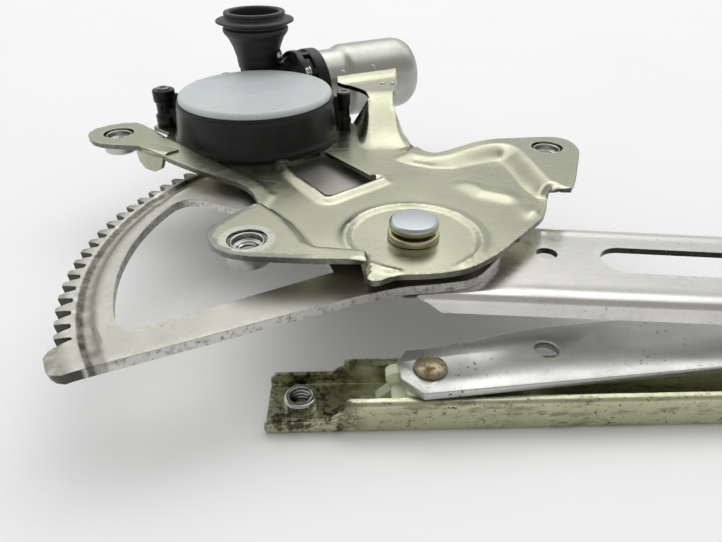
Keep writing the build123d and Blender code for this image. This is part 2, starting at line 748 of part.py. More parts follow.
def make_cover_gasket():
    """Flat ring seal between the cup's rim and the cover."""
    return ring((gear_x, gear_y), cover_r, housing_r - housing_wall, housing_top, housing_top + gasket_t)


def make_housing_cover():
    """Round cover that closes the gear housing, with a shallow spigot."""
    centre = (gear_x, gear_y)
    low = housing_top + gasket_t
    lid = disc(centre, cover_r, low, low + cover_t)
    lid = fillet(lid.edges().group_by(Axis.Z)[-1], 1.0)
    return lid + disc(centre, housing_r - housing_wall - 0.1, housing_top - cover_spigot, low)


def make_housing_screws():
    """Screws through the housing bosses into the plate."""
    screws = Part()
    for radius, angle in screw_places:
        place = polar(radius, angle, (gear_x, gear_y))
        screws += disc(place, screw_r, plate_z - 1.5, housing_top)
        screws += disc(place, screw_head_r, housing_top, housing_top + screw_head_h)
    return screws


def make_worm_wheel():
    """Wheel with slanted teeth cut in its rim, and a pocket for the rubber damper."""
    centre = (gear_x, gear_y)
    low = worm_z - wheel_t / 2
    wheel = disc(centre, wheel_r, low, low + wheel_t)
    gap = math.pi * wheel_r / wheel_teeth / 2
    cutter = Box(3.0, gap, wheel_t * 2)
    for k in range(wheel_teeth):
        place = polar(wheel_r, 360 * k / wheel_teeth, centre)
        wheel -= Pos(place[0], place[1], worm_z) * Rot(0, 0, 360 * k / wheel_teeth) * Rot(6, 0, 0) * cutter
    wheel -= disc(centre, damper_r, low + wheel_web, 90)
    return wheel - disc(centre, shaft_r + run_gap, 0, 90)


def make_damper():
    """Rubber damper with three notches for the drive plate's lugs."""
    centre = (gear_x, gear_y)
    low = worm_z - wheel_t / 2 + wheel_web
    rubber = ring(centre, damper_r, shaft_r + 2, low, low + 3.6)
    for angle in (30, 150, 270):
        x, y = polar(damper_r - 3, angle, centre)
        rubber -= Pos(x, y, low + 2) * Rot(0, 0, angle) * Box(5, 4, 6)
    return rubber


def make_drive_plate():
    """Plate on the output shaft whose lugs sit in the damper."""
    centre = (gear_x, gear_y)
    low = worm_z - wheel_t / 2 + wheel_web
    plate = disc(centre, damper_r - 0.5, low + 3.6, low + 5.0)
    for angle in (30, 150, 270):
        x, y = polar(damper_r - 3, angle, centre)
        plate += Pos(x, y, low + 2) * Rot(0, 0, angle) * Box(5, 4, 3.8)
    return plate - disc(centre, shaft_r, 0, 90)


def make_output_pinion():
    """Pinion that drives the sector, with its shaft up to the drive plate."""
    outline = []
    for k in range(pinion_teeth):
        middle = 360 * k / pinion_teeth
        outline += tooth_points(pinion_teeth, profile_shift, pinion_tip_r, pinion_root_r, middle)
    middle_z = sector_z + sector_t / 2
    teeth = prism(outline, middle_z - pinion_face_w / 2, middle_z + pinion_face_w / 2)
    teeth = Pos(gear_x, gear_y, 0) * Rot(0, 0, pinion_angle + 180) * teeth
    top = worm_z - wheel_t / 2 + wheel_web + 5.6
    return teeth + disc((gear_x, gear_y), shaft_r, middle_z - pinion_face_w / 2, top)


# ---- motor --------------------------------------------------------------------------------

def make_armature_shaft():
    """Shaft with the worm cut on its driving end."""
    shaft = lying(-worm_l / 2 - 4, armature_r, can_start + can_l + worm_l / 2 + 6)
    shaft += lying(-worm_l / 2, worm_core_r, worm_l)
    turns = int(worm_l / worm_pitch)
    for k in range(turns):
        at = -worm_l / 2 + (k + 0.25) * worm_pitch
        shaft += lying(at, worm_r, worm_pitch / 2)
    return shaft


def make_armature_core():
    """Slotted iron core."""
    core = lying_ring(core_start, core_r, armature_r, core_l)
    for k in range(core_slots):
        a = math.radians(360 * (k + 0.5) / core_slots)
        side, rise = (core_r - 1.2) * math.cos(a), (core_r - 1.2) * math.sin(a)
        core -= lying(core_start - 1, 1.5, core_l + 2, side, rise)
    return core


def make_windings():
    """Copper end turns at both ends of the core."""
    front = lying_ring(core_start - 5, core_r - 1.4, armature_r, 5)
    back = lying_ring(core_start + core_l, core_r - 1.4, armature_r, 4)
    return Part() + front + back


def make_commutator():
    """Segmented commutator."""
    drum = lying_ring(can_start + 1, commutator_r, armature_r, commutator_l)
    for k in range(core_slots):
        a = math.radians(360 * k / core_slots)
        side, rise = commutator_r * math.cos(a), commutator_r * math.sin(a)
        drum -= lying(can_start, 0.35, commutator_l + 2, side, rise)
    return drum


def make_motor_can():
    """Deep-drawn can with a bearing nose."""
    can = lying(can_start, can_r, can_l)
    can = fillet(can.edges().sort_by(lambda e: e.center().X * motor_x + e.center().Y * motor_y)[-1:], 3.0)
    can += lying(can_start + can_l - 1, can_nose_r, can_nose_l + 1)
    can -= lying(can_start - 1, can_r - can_wall, can_l + 1 - can_wall)
    return can - lying(can_start + can_l - 3, can_nose_r - can_wall, can_nose_l + 3 - can_wall)


def make_can_bush():
    """Sintered bush in the can's nose."""
    return lying_ring(can_start + can_l - 1, can_nose_r - can_wall, armature_r + run_gap, can_nose_l - 0.5)


def make_worm_bushes():
    """Bushes at each end of the worm."""
    first = lying_ring(-15, tube_bore_r, armature_r + run_gap, 3)
    second = lying_ring(worm_l / 2 + 3, tube_bore_r, armature_r + run_gap, 5)
    return Part() + first + second


def make_magnets():
    """Two arc magnets in the can."""
    outer = can_r - can_wall
    shell = lying_ring(core_start - 4, outer, outer - magnet_t, magnet_l)
    x, y = along_motor(core_start + magnet_l / 2 - 4)
    gap = Pos(x, y, worm_z) * Rot(0, 0, worm_angle) * Box(magnet_l + 4, 8, 60)
    return shell - gap


def make_brush_card():
    """Card that holds the brushes across the motor's mouth."""
    card = lying_ring(can_start - 3, can_r - can_wall - 0.5, commutator_r + 1.5, 3)
    for side in (-1, 1):
        x, y = along_motor(can_start + 4, side * 10.0)
        guide = Pos(x, y, worm_z) * Rot(0, 0, worm_angle) * Box(9, 7, 7)
        guide -= Pos(x, y, worm_z) * Rot(0, 0, worm_angle) * Box(5, 8, 4)
        card += guide
    return card


def make_brushes():
    """Carbon brushes against the commutator."""
    brushes = Part()
    for side in (-1, 1):
        x, y = along_motor(can_start + 4, side * (commutator_r + 0.3 + 3.5))
        brushes += Pos(x, y, worm_z) * Rot(0, 0, worm_angle) * Box(4.9, 7, 3.9)
    return brushes


# ---- connector ----------------------------------------------------------------------------


def make_connector_boot():
    """Bell-shaped rubber boot over the connector."""
    x, y = along_motor(plug_along, plug_out)
    low = worm_z + 8.2
    wall = plug_wall
    neck = plug_neck_r
    top = plug_top_z
    outer = [(neck + 0.1, low), (neck + 1.2, low), (neck + 1.8, top - 21), (plug_bell_r - 2.4, top - 12)]
    outer += [(plug_bell_r, top - 9), (plug_bell_r, top - 7)]
    outer += [(plug_bell_r - 1.2, top - 6), (plug_flange_r, top - 3.6), (plug_flange_r - 0.6, top - 2.2)]
    outer += [(plug_mouth_r + 0.4, top - 1.6), (plug_mouth_r, top)]
    inner = [(plug_mouth_r - wall, top), (plug_mouth_r - wall, top - 8), (neck + 0.1, top - 17)]
    face = make_face(Polyline(*outer, *inner, close=True))
    return Pos(x, y, 0) * revolve(Plane.XZ * face, Axis.Z)


def make_connector_shell():
    """Socket body inside the boot."""
    place = along_motor(plug_along, plug_out)
    shell = disc(place, plug_neck_r - plug_wall - 0.1, worm_z - 1, plug_top_z - 12)
    return shell - disc(place, plug_neck_r - 2 * plug_wall, worm_z + 8, plug_top_z)


def make_connector_terminals():
    """Two blade terminals in the socket."""
    pins = Part()
    for side in (-1.6, 1.6):
        x, y = along_motor(plug_along + side, plug_out)
        pins += Pos(x, y, worm_z + 13) * Rot(0, 0, worm_angle) * Box(0.8, 2.8, 10)
    return pins


# ---- all nodes ----------------------------------------------------------------------------

rail_slider = slider(eq_near, rail_w, rail_h, rail_lip, 0, False, True)
lift_slider = slider(lift_end, rail_w, rail_h, rail_lip, 0, False, False)
guide_slider = slider(eq_far, guide_w, guide_h, guide_lip, guide_z, True, False)

nodes = {
    "base_plate": make_base_plate(),
    "ear_nuts": make_ear_nuts(),
    "pivot_bush": make_pivot_bush(),
    "sector_gear": make_sector_gear(),
    "lift_arm": make_lift_arm(),
    "sector_rivets": make_sector_rivets(),
    "main_pivot_pin": make_pivot_pin(),
    "lift_end_pin": make_lift_end_pin(),
    "equalizer_lower_arm": make_equalizer_lower_arm(),
    "equalizer_upper_arm": make_equalizer_upper_arm(),
    "cross_pin": make_cross_pin(),
    "cross_spacer": make_cross_spacer(),
    "equalizer_pins": make_equalizer_pins(),
    "glass_rail": make_glass_rail(),
    "rail_nuts": make_rail_nuts(),
    "rail_slider": rail_slider,
    "lift_slider": lift_slider,
    "guide_slider": guide_slider,
    "guide_rail": make_guide_rail(),
    "guide_studs": make_guide_studs(),
    "gear_housing": make_gear_housing(),
    "housing_cover": make_housing_cover(),
    "cover_gasket": make_cover_gasket(),
    "housing_screws": make_housing_screws(),
    "output_pinion": make_output_pinion(),
    "worm_wheel": make_worm_wheel(),
    "damper_rubber": make_damper(),
    "drive_plate": make_drive_plate(),
    "armature_shaft": make_armature_shaft(),
    "armature_core": make_armature_core(),
    "armature_windings": make_windings(),
    "commutator": make_commutator(),
    "motor_can": make_motor_can(),
    "can_bush": make_can_bush(),
    "worm_bushes": make_worm_bushes(),
    "motor_magnets": make_magnets(),
    "brush_card": make_brush_card(),
    "carbon_brushes": make_brushes(),
    "connector_boot": make_connector_boot(),
    "connector_shell": make_connector_shell(),
    "connector_terminals": make_connector_terminals(),
}

origin = Pos(-front_ear[0], -front_ear[1], nut_recess - mount_z)
os.makedirs("parts", exist_ok=True)
for name, shape in nodes.items():
    export_step(origin * shape, f"parts/{name}.step")
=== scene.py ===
import json
import math

import bmesh
import bpy
import numpy as np
from mathutils import Matrix, Vector
from mathutils.geometry import delaunay_2d_cdt


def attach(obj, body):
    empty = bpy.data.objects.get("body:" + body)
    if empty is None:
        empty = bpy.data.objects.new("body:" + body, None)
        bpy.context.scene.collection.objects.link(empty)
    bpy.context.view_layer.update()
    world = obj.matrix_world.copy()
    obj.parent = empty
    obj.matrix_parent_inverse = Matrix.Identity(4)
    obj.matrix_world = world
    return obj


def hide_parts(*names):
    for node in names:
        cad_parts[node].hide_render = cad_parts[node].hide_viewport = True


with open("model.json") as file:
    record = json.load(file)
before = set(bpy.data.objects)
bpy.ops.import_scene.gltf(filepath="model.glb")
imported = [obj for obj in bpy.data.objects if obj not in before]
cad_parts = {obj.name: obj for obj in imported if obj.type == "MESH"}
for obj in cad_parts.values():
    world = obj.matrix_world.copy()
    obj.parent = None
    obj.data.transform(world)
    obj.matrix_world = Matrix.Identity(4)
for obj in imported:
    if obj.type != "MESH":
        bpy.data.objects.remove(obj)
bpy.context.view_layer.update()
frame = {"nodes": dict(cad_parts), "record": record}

# ---- places and sizes, in millimetres about the main pivot axis, heights above the floor ----

MM = 0.001
PIVOT = (50.5, 7.8)
FLOOR = -37.8

PLATE_T = 1.8
DISH_Z = 35.5
EAR_Z = 40.0
SHELF_Z = 49.5
FRONT_EAR = (-50.5, -7.8)
LEFT_EAR = (-116.2, 83.5)
RIGHT_EAR = (59.7, 62.6)
GEAR = (-58.85, 95.29)
WORM_TURN = 28.4
WORM_ANGLE = math.radians(WORM_TURN)
WORM_FOOT = (-71.69, 119.04)
WORM_Z = 44.0
PLUG = (-62.81, 141.92)
CROSS = (190.05, -19.0)
RAIL_PIN = (1.99, -37.81)
LIFT_END = (378.11, -37.81)
REST_ANGLE = math.radians(-5.71)
THREAD_PITCH = 1.25
RAIL_START = RAIL_PIN[0] - 46.3
RAIL_END = RAIL_START + 454.0


def place(x, y, z):
    """Point of the frame, in metres, from millimetres about the pivot and above the floor."""
    return Vector(((x + PIVOT[0]) * MM, (y + PIVOT[1]) * MM, (z + FLOOR) * MM))


def polar(radius, angle, centre=(0.0, 0.0)):
    """Plan point at a radius and an angle in degrees about a centre."""
    a = math.radians(angle)
    return (centre[0] + radius * math.cos(a), centre[1] + radius * math.sin(a))


def motor_point(along, side=0.0):
    """Plan point along the motor axis, and to its far side."""
    c, s = math.cos(WORM_ANGLE), math.sin(WORM_ANGLE)
    return (WORM_FOOT[0] + along * c - side * s, WORM_FOOT[1] + along * s + side * c)


# ---- materials ----------------------------------------------------------------------------

BUMP_DEPTH = 0.0002
BRIGHTEST = 1.0


class Nodes:
    """Node tree of a material or of the world, with short calls for the nodes that they share."""

    def __init__(self, owner):
        owner.use_nodes = True
        self.owner = owner
        self.tree = owner.node_tree
        self.coords = self.node("TexCoord").outputs

    def feed(self, socket, value):
        """Links an input to another node's output, or gives it a plain value."""
        if isinstance(value, bpy.types.NodeSocket):
            self.tree.links.new(value, socket)
        else:
            socket.default_value = (*value, 1.0) if socket.type == "RGBA" else value

    def node(self, kind, inputs=None, **settings):
        """New node with its settings, and its inputs fed by name or number."""
        made = self.tree.nodes.new("ShaderNode" + kind)
        for key, value in settings.items():
            setattr(made, key, value)
        for key, value in (inputs or {}).items():
            self.feed(made.inputs[key], value)
        return made

    def noise(self, scale, detail=4.0, rough=0.55, stretch=(1, 1, 1), shift=0.0):
        at = self.node("Mapping", {"Vector": self.coords["Object"], "Scale": stretch}).outputs["Vector"]
        inputs = {"Vector": at, "Scale": scale, "Detail": detail, "Roughness": rough, "Distortion": shift}
        return self.node("TexNoise", inputs).outputs["Fac"]

    def ramp(self, value, low, high, first=0.0, last=1.0):
        inputs = {"Value": value, "From Min": low, "From Max": high, "To Min": first, "To Max": last}
        return self.node("MapRange", inputs).outputs["Result"]

    def patches(self, low, high, *noise):
        """Noise cut to patches, between a low and a high value of it."""
        return self.ramp(self.noise(*noise), low, high)

    def fold(self, operation, *values):
        """Math node over values, folded from the first to the last."""
        total = values[0]
        for value in values[1:]:
            total = self.node("Math", {0: total, 1: value}, operation=operation).outputs[0]
        return total

    def times(self, *values):
        return self.fold("MULTIPLY", *values)

    def add(self, *values):
        return self.fold("ADD", *values)

    def mix(self, factor, one, two):
        inputs = {"Factor": factor, "A": one, "B": two}
        return self.node("Mix", inputs, data_type="RGBA").outputs["Result"]

    def stain(self, plated, colour, *masks):
        """A colour laid over the plating where all of the masks agree."""
        return self.mix(self.times(*masks), plated, colour)

    def part(self, vector, axis):
        return self.node("SeparateXYZ", {0: vector}).outputs[axis]

    def attribute(self, name):
        return self.node("Attribute", attribute_name=name).outputs["Fac"]

    def surface(self, inputs, height=None, strength=0.0):
        """Feeds the material's shader, with a bump if it has a height, and hands it back."""
        if height:
            bump = self.node("Bump", {"Strength": strength, "Distance": BUMP_DEPTH, "Height": height})
            inputs["Normal"] = bump.outputs["Normal"]
        for key, value in inputs.items():
            self.feed(self.tree.nodes["Principled BSDF"].inputs[key], value)
        return self.owner


def faded(colour, share, lift=0.0):
    """A colour made lighter or darker by a share."""
    return tuple(min(BRIGHTEST, c * share + lift) for c in colour)


def zinc(name, base, shade, rough=0.30, speck=0.5, dirt=(0.08, 0.08, 0.06), cut=None,
         grain=(1, 1, 1), marks=None):
    """Zinc-plated steel: cloudy plating, fine grain, specks, rubbed edges, cut edges painted with shade and
    light, scratches.
    """
    n = Nodes(bpy.data.materials.new(name))
    cloud = n.patches(0.35, 0.68, 45, 5, 0.6)
    fine = n.patches(0.3, 0.7, 1100, 3, 0.6, grain)
    plated = n.stain(n.mix(cloud, base, shade), faded(base, 1.2), fine, 0.10)
    edge = n.ramp(n.node("NewGeometry").outputs["Pointiness"], 0.51, 0.58)
    plated = n.stain(plated, (0.72, 0.72, 0.68), edge, n.patches(0.45, 0.6, 500, 4, 0.7), 0.6)
    gate = n.patches(0.46, 0.64, 38, 3)
    specks = n.times(n.patches(0.64, 0.70, 760, 3, 0.6), gate, speck)
    smears = n.times(n.patches(0.56, 0.70, 170, 5, 0.7), gate, speck * 0.35)
    grime = n.add(specks, smears)
    # cut edges: the torn steel's speckle in the colour passed as cut, which carries painted shade on the
    # plate and the arm and a painted reflection on the sector
    if cut:
        torn_edge_with_painted_light = n.mix(n.patches(0.50, 0.66, 620, 5, 0.75), cut, faded(cut, 0.4))
        plated = n.mix(n.attribute("cut_edge"), plated, torn_edge_with_painted_light)
    if marks:
        plated = marks(n, plated)
    scratch = n.noise(520, 2, 0.5, (0.3, 1.0, 0.6), 0.3)
    gloss = n.add(n.ramp(cloud, 0, 1, rough - 0.04, rough + 0.06), n.times(grime, 0.35),
                  n.ramp(scratch, 0.3, 0.7, -0.02, 0.03))
    height = n.add(n.times(fine, 0.3), n.times(scratch, 0.2), n.times(cloud, 0.5))
    colour = n.mix(grime, plated, dirt)
    return n.surface({"Base Color": colour, "Metallic": 1.0, "Roughness": gloss}, height, 0.06)


def plate_marks(n, plated):
    """Worn rim of the front ear, a pale rubbed ring around its nut and a dark line at the edge."""
    ear = tuple(place(*FRONT_EAR, EAR_Z))
    reach = n.node("VectorMath", {0: n.coords["Object"], 1: ear}, operation="DISTANCE").outputs["Value"]
    ring = n.ramp(reach, 0.0088, 0.0082)
    plated = n.stain(plated, (0.62, 0.62, 0.57), ring, n.patches(0.32, 0.5, 420, 4, 0.7), 0.6)
    rim = n.attribute("rim")
    ragged = n.add(rim, n.times(n.noise(300, 5, 0.75), -5.0))
    worn = n.times(n.ramp(ragged, -0.2, -0.7), n.ramp(reach, 0.0230, 0.0190))
    plated = n.stain(plated, (0.24, 0.24, 0.22), worn, 0.85)
    line = n.ramp(rim, 0.55, 0.25)
    return n.stain(plated, (0.12, 0.12, 0.10), line, n.patches(0.38, 0.5, 480, 4, 0.7), 0.5)


def sector_shade_and_grime(n, plated):
    """Painted shade on the tooth flanks, and grime with painted shade on the tooth tips, in the bead and
    along its groove.
    """
    axis = (PIVOT[0] * MM, PIVOT[1] * MM, 0)
    flat = n.node("VectorMath", {0: n.coords["Object"], 1: (1, 1, 0)}, operation="MULTIPLY").outputs[0]
    radius = n.node("VectorMath", {0: flat, 1: axis}, operation="DISTANCE").outputs["Value"]
    lean = n.part(n.node("NewGeometry").outputs["True Normal"], "Z")
    upright = n.ramp(n.node("Math", {0: lean}, operation="ABSOLUTE").outputs[0], 0.8, 0.5)
    # near-black painted shade on the upright tooth flanks
    plated = n.stain(plated, (0.035, 0.035, 0.025), upright, n.ramp(radius, 0.0995, 0.1008), 0.93)
    blotch = n.patches(0.3, 0.62, 240, 5, 0.7)
    # tooth tips darker: grime and painted shade
    tips = n.ramp(radius, 0.1018, 0.1045)
    plated = n.stain(plated, (0.09, 0.09, 0.07), tips, n.add(n.times(blotch, 0.5), 0.15))
    # bead darker: grime and painted shade in its hollow
    bead = n.times(n.ramp(radius, 0.0944, 0.0952), n.ramp(radius, 0.0996, 0.0990))
    plated = n.stain(plated, (0.16, 0.155, 0.125), bead, n.add(n.times(blotch, 0.3), 0.30))
    # near-black line: painted shade deep in the bead's groove
    line = n.times(n.ramp(radius, 0.0974, 0.0982), n.ramp(radius, 0.0998, 0.0993))
    return n.stain(plated, (0.035, 0.035, 0.028), line, n.add(n.times(blotch, 0.5), 0.4))


def thread_root_shade(n, plated):
    """Painted shade in the roots between the bright crests of a thread."""
    turns = n.times(n.part(n.coords["Object"], "Z"), 1 / (MM * THREAD_PITCH))
    turn = n.node("Math", {0: turns}, operation="FRACT").outputs[0]
    # painted shade: dark rings at the thread's roots, one per pitch of height
    return n.stain(plated, (0.03, 0.03, 0.025), n.ramp(turn, 0.30, 0.44), n.ramp(turn, 0.98, 0.86), 0.92)


def rail_marks(n, plated):
    """Dirt that has gathered in the rail's near end and along its lips."""
    start = (PIVOT[0] + RAIL_START) * MM
    end = n.ramp(n.part(n.coords["Object"], "X"), start + 0.030, start + 0.020)
    streaks = n.patches(0.54, 0.66, 260, 5, 0.75, (0.3, 1, 1))
    plated = n.stain(plated, (0.06, 0.06, 0.035), streaks, 0.55)
    plated = n.stain(plated, (0.035, 0.03, 0.02), n.patches(0.60, 0.66, 620, 4, 0.7), 0.7)
    plated = n.stain(plated, (0.46, 0.45, 0.20), n.patches(0.45, 0.7, 75, 4), end, 0.6)
    return n.stain(plated, (0.04, 0.036, 0.022), n.patches(0.47, 0.56, 210, 6, 0.75), end, 0.9)


def plastic(name, base, shade, rough=0.45, grain=1400, lift=0.25, shine=0.5):
    """Moulded plastic or rubber: slight mottling, fine texture and dusty patches."""
    n = Nodes(bpy.data.materials.new(name))
    cloud = n.patches(0.35, 0.7, 70, 4)
    fine = n.noise(grain, 3, 0.6)
    dust = n.times(n.patches(0.5, 0.75, 260, 5, 0.65), lift)
    colour = n.mix(dust, n.mix(cloud, base, shade), faded(base, 1.6, 0.05))
    gloss = n.add(n.ramp(fine, 0.3, 0.7, rough - 0.05, rough + 0.05), n.times(dust, 0.3))
    inputs = {"Base Color": colour, "Roughness": gloss, "Specular IOR Level": shine}
    return n.surface(inputs, n.add(n.times(fine, 0.5), n.times(cloud, 0.3)), 0.12)


def nylon(name, base):
    """Natural nylon, slightly see-through, with grease marks."""
    n = Nodes(bpy.data.materials.new(name))
    cloud = n.patches(0.4, 0.65, 150, 4)
    inputs = {"Base Color": n.stain(base, (0.50, 0.52, 0.36), cloud, 0.5),
              "Roughness": n.ramp(cloud, 0, 1, 0.28, 0.45), "Subsurface Weight": 0.35,
              "Subsurface Scale": 0.002, "Subsurface Radius": (1.0, 1.0, 0.8)}
    return n.surface(inputs, n.noise(700, 3), 0.08)


def rust(name, base, patch):
    """Bare rivet steel with brown oxide on its crown."""
    n = Nodes(bpy.data.materials.new(name))
    spots = n.patches(0.44, 0.60, 420, 5, 0.7)
    inputs = {"Base Color": n.mix(spots, base, patch), "Metallic": n.ramp(spots, 0, 1, 1.0, 0.45),
              "Roughness": n.ramp(spots, 0, 1, 0.34, 0.62)}
    return n.surface(inputs, n.add(n.times(n.noise(1500, 3), 0.3), n.times(spots, 0.5)), 0.3)


def copper(name, base):
    """Enamelled winding wire or copper bars, with fine wound lines."""
    n = Nodes(bpy.data.materials.new(name))
    lines = n.noise(1800, 2, 0.5, (0.1, 1, 1))
    inputs = {"Base Color": n.mix(n.ramp(lines, 0.35, 0.65), base, faded(base, 0.55)),
              "Metallic": 0.9, "Roughness": n.ramp(lines, 0.3, 0.7, 0.25, 0.45)}
    return n.surface(inputs, lines, 0.4)


FINISH = {
    # plate: its darker cut-edge colour is partly the torn steel's own grey and partly painted shade on the
    # rolled and cut edges
    "olive_zinc": zinc("olive_zinc_plating", (0.45, 0.45, 0.342), (0.38, 0.39, 0.285), 0.25, 0.5,
                       cut=(0.22, 0.22, 0.185), marks=plate_marks),
    # sector: its light cut-edge colour is a painted reflection of the floor on the cut walls
    "sector_steel": zinc("sector_plating", (0.46, 0.45, 0.395), (0.39, 0.385, 0.34), 0.36, 0.55,
                         cut=(0.62, 0.61, 0.58), marks=sector_shade_and_grime),
    # arm: its near-black cut-edge colour is painted shade on the walls of the slot, the holes and the edges
    "arm_zinc": zinc("arm_plating", (0.70, 0.69, 0.64), (0.60, 0.59, 0.55), 0.24, 0.6,
                     cut=(0.12, 0.12, 0.105), grain=(0.1, 1, 1)),
    "equalizer_zinc": zinc("equalizer_plating", (0.56, 0.56, 0.54), (0.46, 0.47, 0.45), 0.38, 1.0),
    "rail_zinc": zinc("rail_plating", (0.54, 0.55, 0.38), (0.45, 0.46, 0.30), 0.30, 0.9,
                      (0.04, 0.04, 0.025), marks=rail_marks),
    "bright_zinc": zinc("bright_plating", (0.52, 0.53, 0.50), (0.40, 0.40, 0.36), 0.20, 0.6),
    "can_steel": zinc("can_plating", (0.46, 0.46, 0.42), (0.38, 0.38, 0.34), 0.32, 0.4),
    "hardened_steel": zinc("ground_steel", (0.48, 0.48, 0.47), (0.40, 0.40, 0.40), 0.28, 0.3),
    "core_steel": zinc("stacked_steel", (0.28, 0.29, 0.31), (0.20, 0.21, 0.23), 0.45, 0.3),
    "sintered_bronze": zinc("sintered_bronze", (0.48, 0.34, 0.17), (0.36, 0.26, 0.13), 0.5, 0.6),
    "brass": zinc("brass_terminal", (0.66, 0.50, 0.22), (0.55, 0.42, 0.2), 0.28, 0.2),
    "rivet_bronze": rust("rusty_rivet", (0.34, 0.30, 0.20), (0.15, 0.095, 0.035)),
    "black_plastic": plastic("black_moulding", (0.004, 0.005, 0.004), (0.007, 0.007, 0.007), 0.30,
                             lift=0.02, shine=0.28),
    "grey_plastic": plastic("pale_cover", (0.55, 0.59, 0.60), (0.60, 0.63, 0.63), 0.42, lift=0.1),
    "black_rubber": plastic("black_rubber", (0.010, 0.010, 0.011), (0.018, 0.018, 0.018), 0.5, 900, 0.15),
    "ferrite": plastic("ferrite_magnet", (0.05, 0.05, 0.055), (0.07, 0.07, 0.075), 0.6, 700),
    "carbon": plastic("carbon_brush", (0.02, 0.02, 0.02), (0.035, 0.035, 0.035), 0.5, 900),
    "white_nylon": nylon("natural_nylon", (0.76, 0.80, 0.60)),
    "copper": copper("wound_copper", (0.55, 0.24, 0.10)),
    "yellow_collar": zinc("yellowed_collar", (0.50, 0.48, 0.33), (0.40, 0.38, 0.24), 0.30, 0.6),
    "pivot_head": zinc("pivot_head_plating", (0.46, 0.49, 0.49), (0.39, 0.42, 0.43), 0.30, 0.5),
    "grimy_steel": zinc("grimy_neck", (0.06, 0.05, 0.035), (0.03, 0.026, 0.018), 0.5, 0.8),
    # thread steel, with painted shade in its roots
    "threads": zinc("thread_steel", (0.80, 0.80, 0.77), (0.66, 0.66, 0.62), 0.22, 0.2, marks=thread_root_shade),
    "dark_screw": zinc("dark_screw", (0.20, 0.20, 0.20), (0.14, 0.14, 0.14), 0.35, 0.4),
}


def slot_of(node):
    """The record's material slot of a CAD node."""
    for entry in frame["record"]["subparts"]:
        if entry["node"] == node:
            return entry["material_slot"]
    raise KeyError(node)


def body_of(node):
    """The CAD body that a node belongs to."""
    for body, members in frame["record"]["behaviour"]["bodies"].items():
        if node in members:
            return body
    raise KeyError(node)


def paint(obj, finish):
    """Gives an object its finish, on all of its faces."""
    obj.data.materials.clear()
    obj.data.materials.append(FINISH[finish])


for node_name, node_object in frame["nodes"].items():
    paint(node_object, slot_of(node_name))


# ---- mesh helpers -------------------------------------------------------------------------


def link(obj):
    """Puts an object into the scene and hands it back."""
    bpy.context.scene.collection.objects.link(obj)
    return obj


def new_piece(name, mesh, node, finish=None, stands_for=True):
    """Links a mesh as a piece that rides on a node's body and, if asked, stands for the node."""
    obj = link(bpy.data.objects.new(name, mesh))
    paint(obj, finish or slot_of(node))
    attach(obj, body_of(node))
    if stands_for:
        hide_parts(node)
    return obj


def smooth(mesh, angle=35.0):
    """Smooth shading with sharp edges over an angle."""
    mesh.polygons.foreach_set("use_smooth", [True] * len(mesh.polygons))
    mesh.set_sharp_from_angle(angle=math.radians(angle))


def soften(node, width):
    """A CAD piece with its flat faces merged and its sharp edges rounded."""
    mesh = frame["nodes"][node].data.copy()
    bm = bmesh.new()
    bm.from_mesh(mesh)
    bmesh.ops.remove_doubles(bm, verts=bm.verts, dist=1e-6)
    bmesh.ops.dissolve_limit(bm, angle_limit=math.radians(0.6), verts=bm.verts, edges=bm.edges)
    bm.to_mesh(mesh)
    bm.free()
    obj = new_piece(node + "_finished", mesh, node)
    bevel = obj.modifiers.new("round", "BEVEL")
    bevel.width = width * MM
    bevel.segments = 2
    bevel.limit_method = "ANGLE"
    bevel.angle_limit = math.radians(32.0)
    bevel.use_clamp_overlap = True
    bevel.harden_normals = False
    bpy.context.view_layer.update()
    graph = bpy.context.evaluated_depsgraph_get()
    mesh = bpy.data.meshes.new_from_object(obj.evaluated_get(graph))
    obj.modifiers.clear()
    obj.data = mesh
    smooth(mesh)


# ---- camera, floor and light --------------------------------------------------------------

CAMERA_AT = (-21.0, -163.2, 129.0)
CAMERA_TURN = -1.62
CAMERA_PITCH = 33.0
FOCAL_PIXELS = 600.0
PICTURE_WIDTH = 722.0
SENSOR_WIDTH = 36.0
FLOOR_HALF = 6.0
ROOM = {0.0: (0.84, 0.84, 0.84), 0.26: (0.56, 0.57, 0.57), 0.40: (0.54, 0.55, 0.55),
        0.57: (0.76, 0.76, 0.77), 0.78: (0.92, 0.92, 0.92), 1.0: (1.0, 1.01, 1.01)}
DARK_FRONT = (0.34, 0.34, 0.33)
SEEN_ROOM = (0.92, 0.92, 0.925)
ROOM_STRENGTH = 1.26


def set_camera():
    """Camera close above the rail, looking down over the pivot."""
    data = bpy.data.cameras.new("camera")
    data.sensor_width = SENSOR_WIDTH
    data.lens = FOCAL_PIXELS / PICTURE_WIDTH * SENSOR_WIDTH
    data.clip_start = 0.01
    data.clip_end = 50.0
    camera = link(bpy.data.objects.new("camera", data))
    camera.location = place(*CAMERA_AT)
    camera.rotation_euler = (math.radians(90.0 - CAMERA_PITCH), 0.0, math.radians(CAMERA_TURN))
    bpy.context.scene.camera = camera


def set_floor():
    """Pale floor that stays bright behind the object and keeps its shadow."""
    mesh = bpy.data.meshes.new("floor")
    signs = ((-1, -1), (1, -1), (1, 1), (-1, 1))
    mesh.from_pydata([(i * FLOOR_HALF, j * FLOOR_HALF, FLOOR * MM) for i, j in signs], [], [(0, 1, 2, 3)])
    floor = link(bpy.data.objects.new("floor", mesh))
    n = Nodes(bpy.data.materials.new("pale_floor"))
    colour = n.mix(n.patches(0.3, 0.7, 9, 3), (0.95, 0.95, 0.955), (0.97, 0.97, 0.975))
    mesh.materials.append(n.surface({"Base Color": colour, "Roughness": 0.6}))


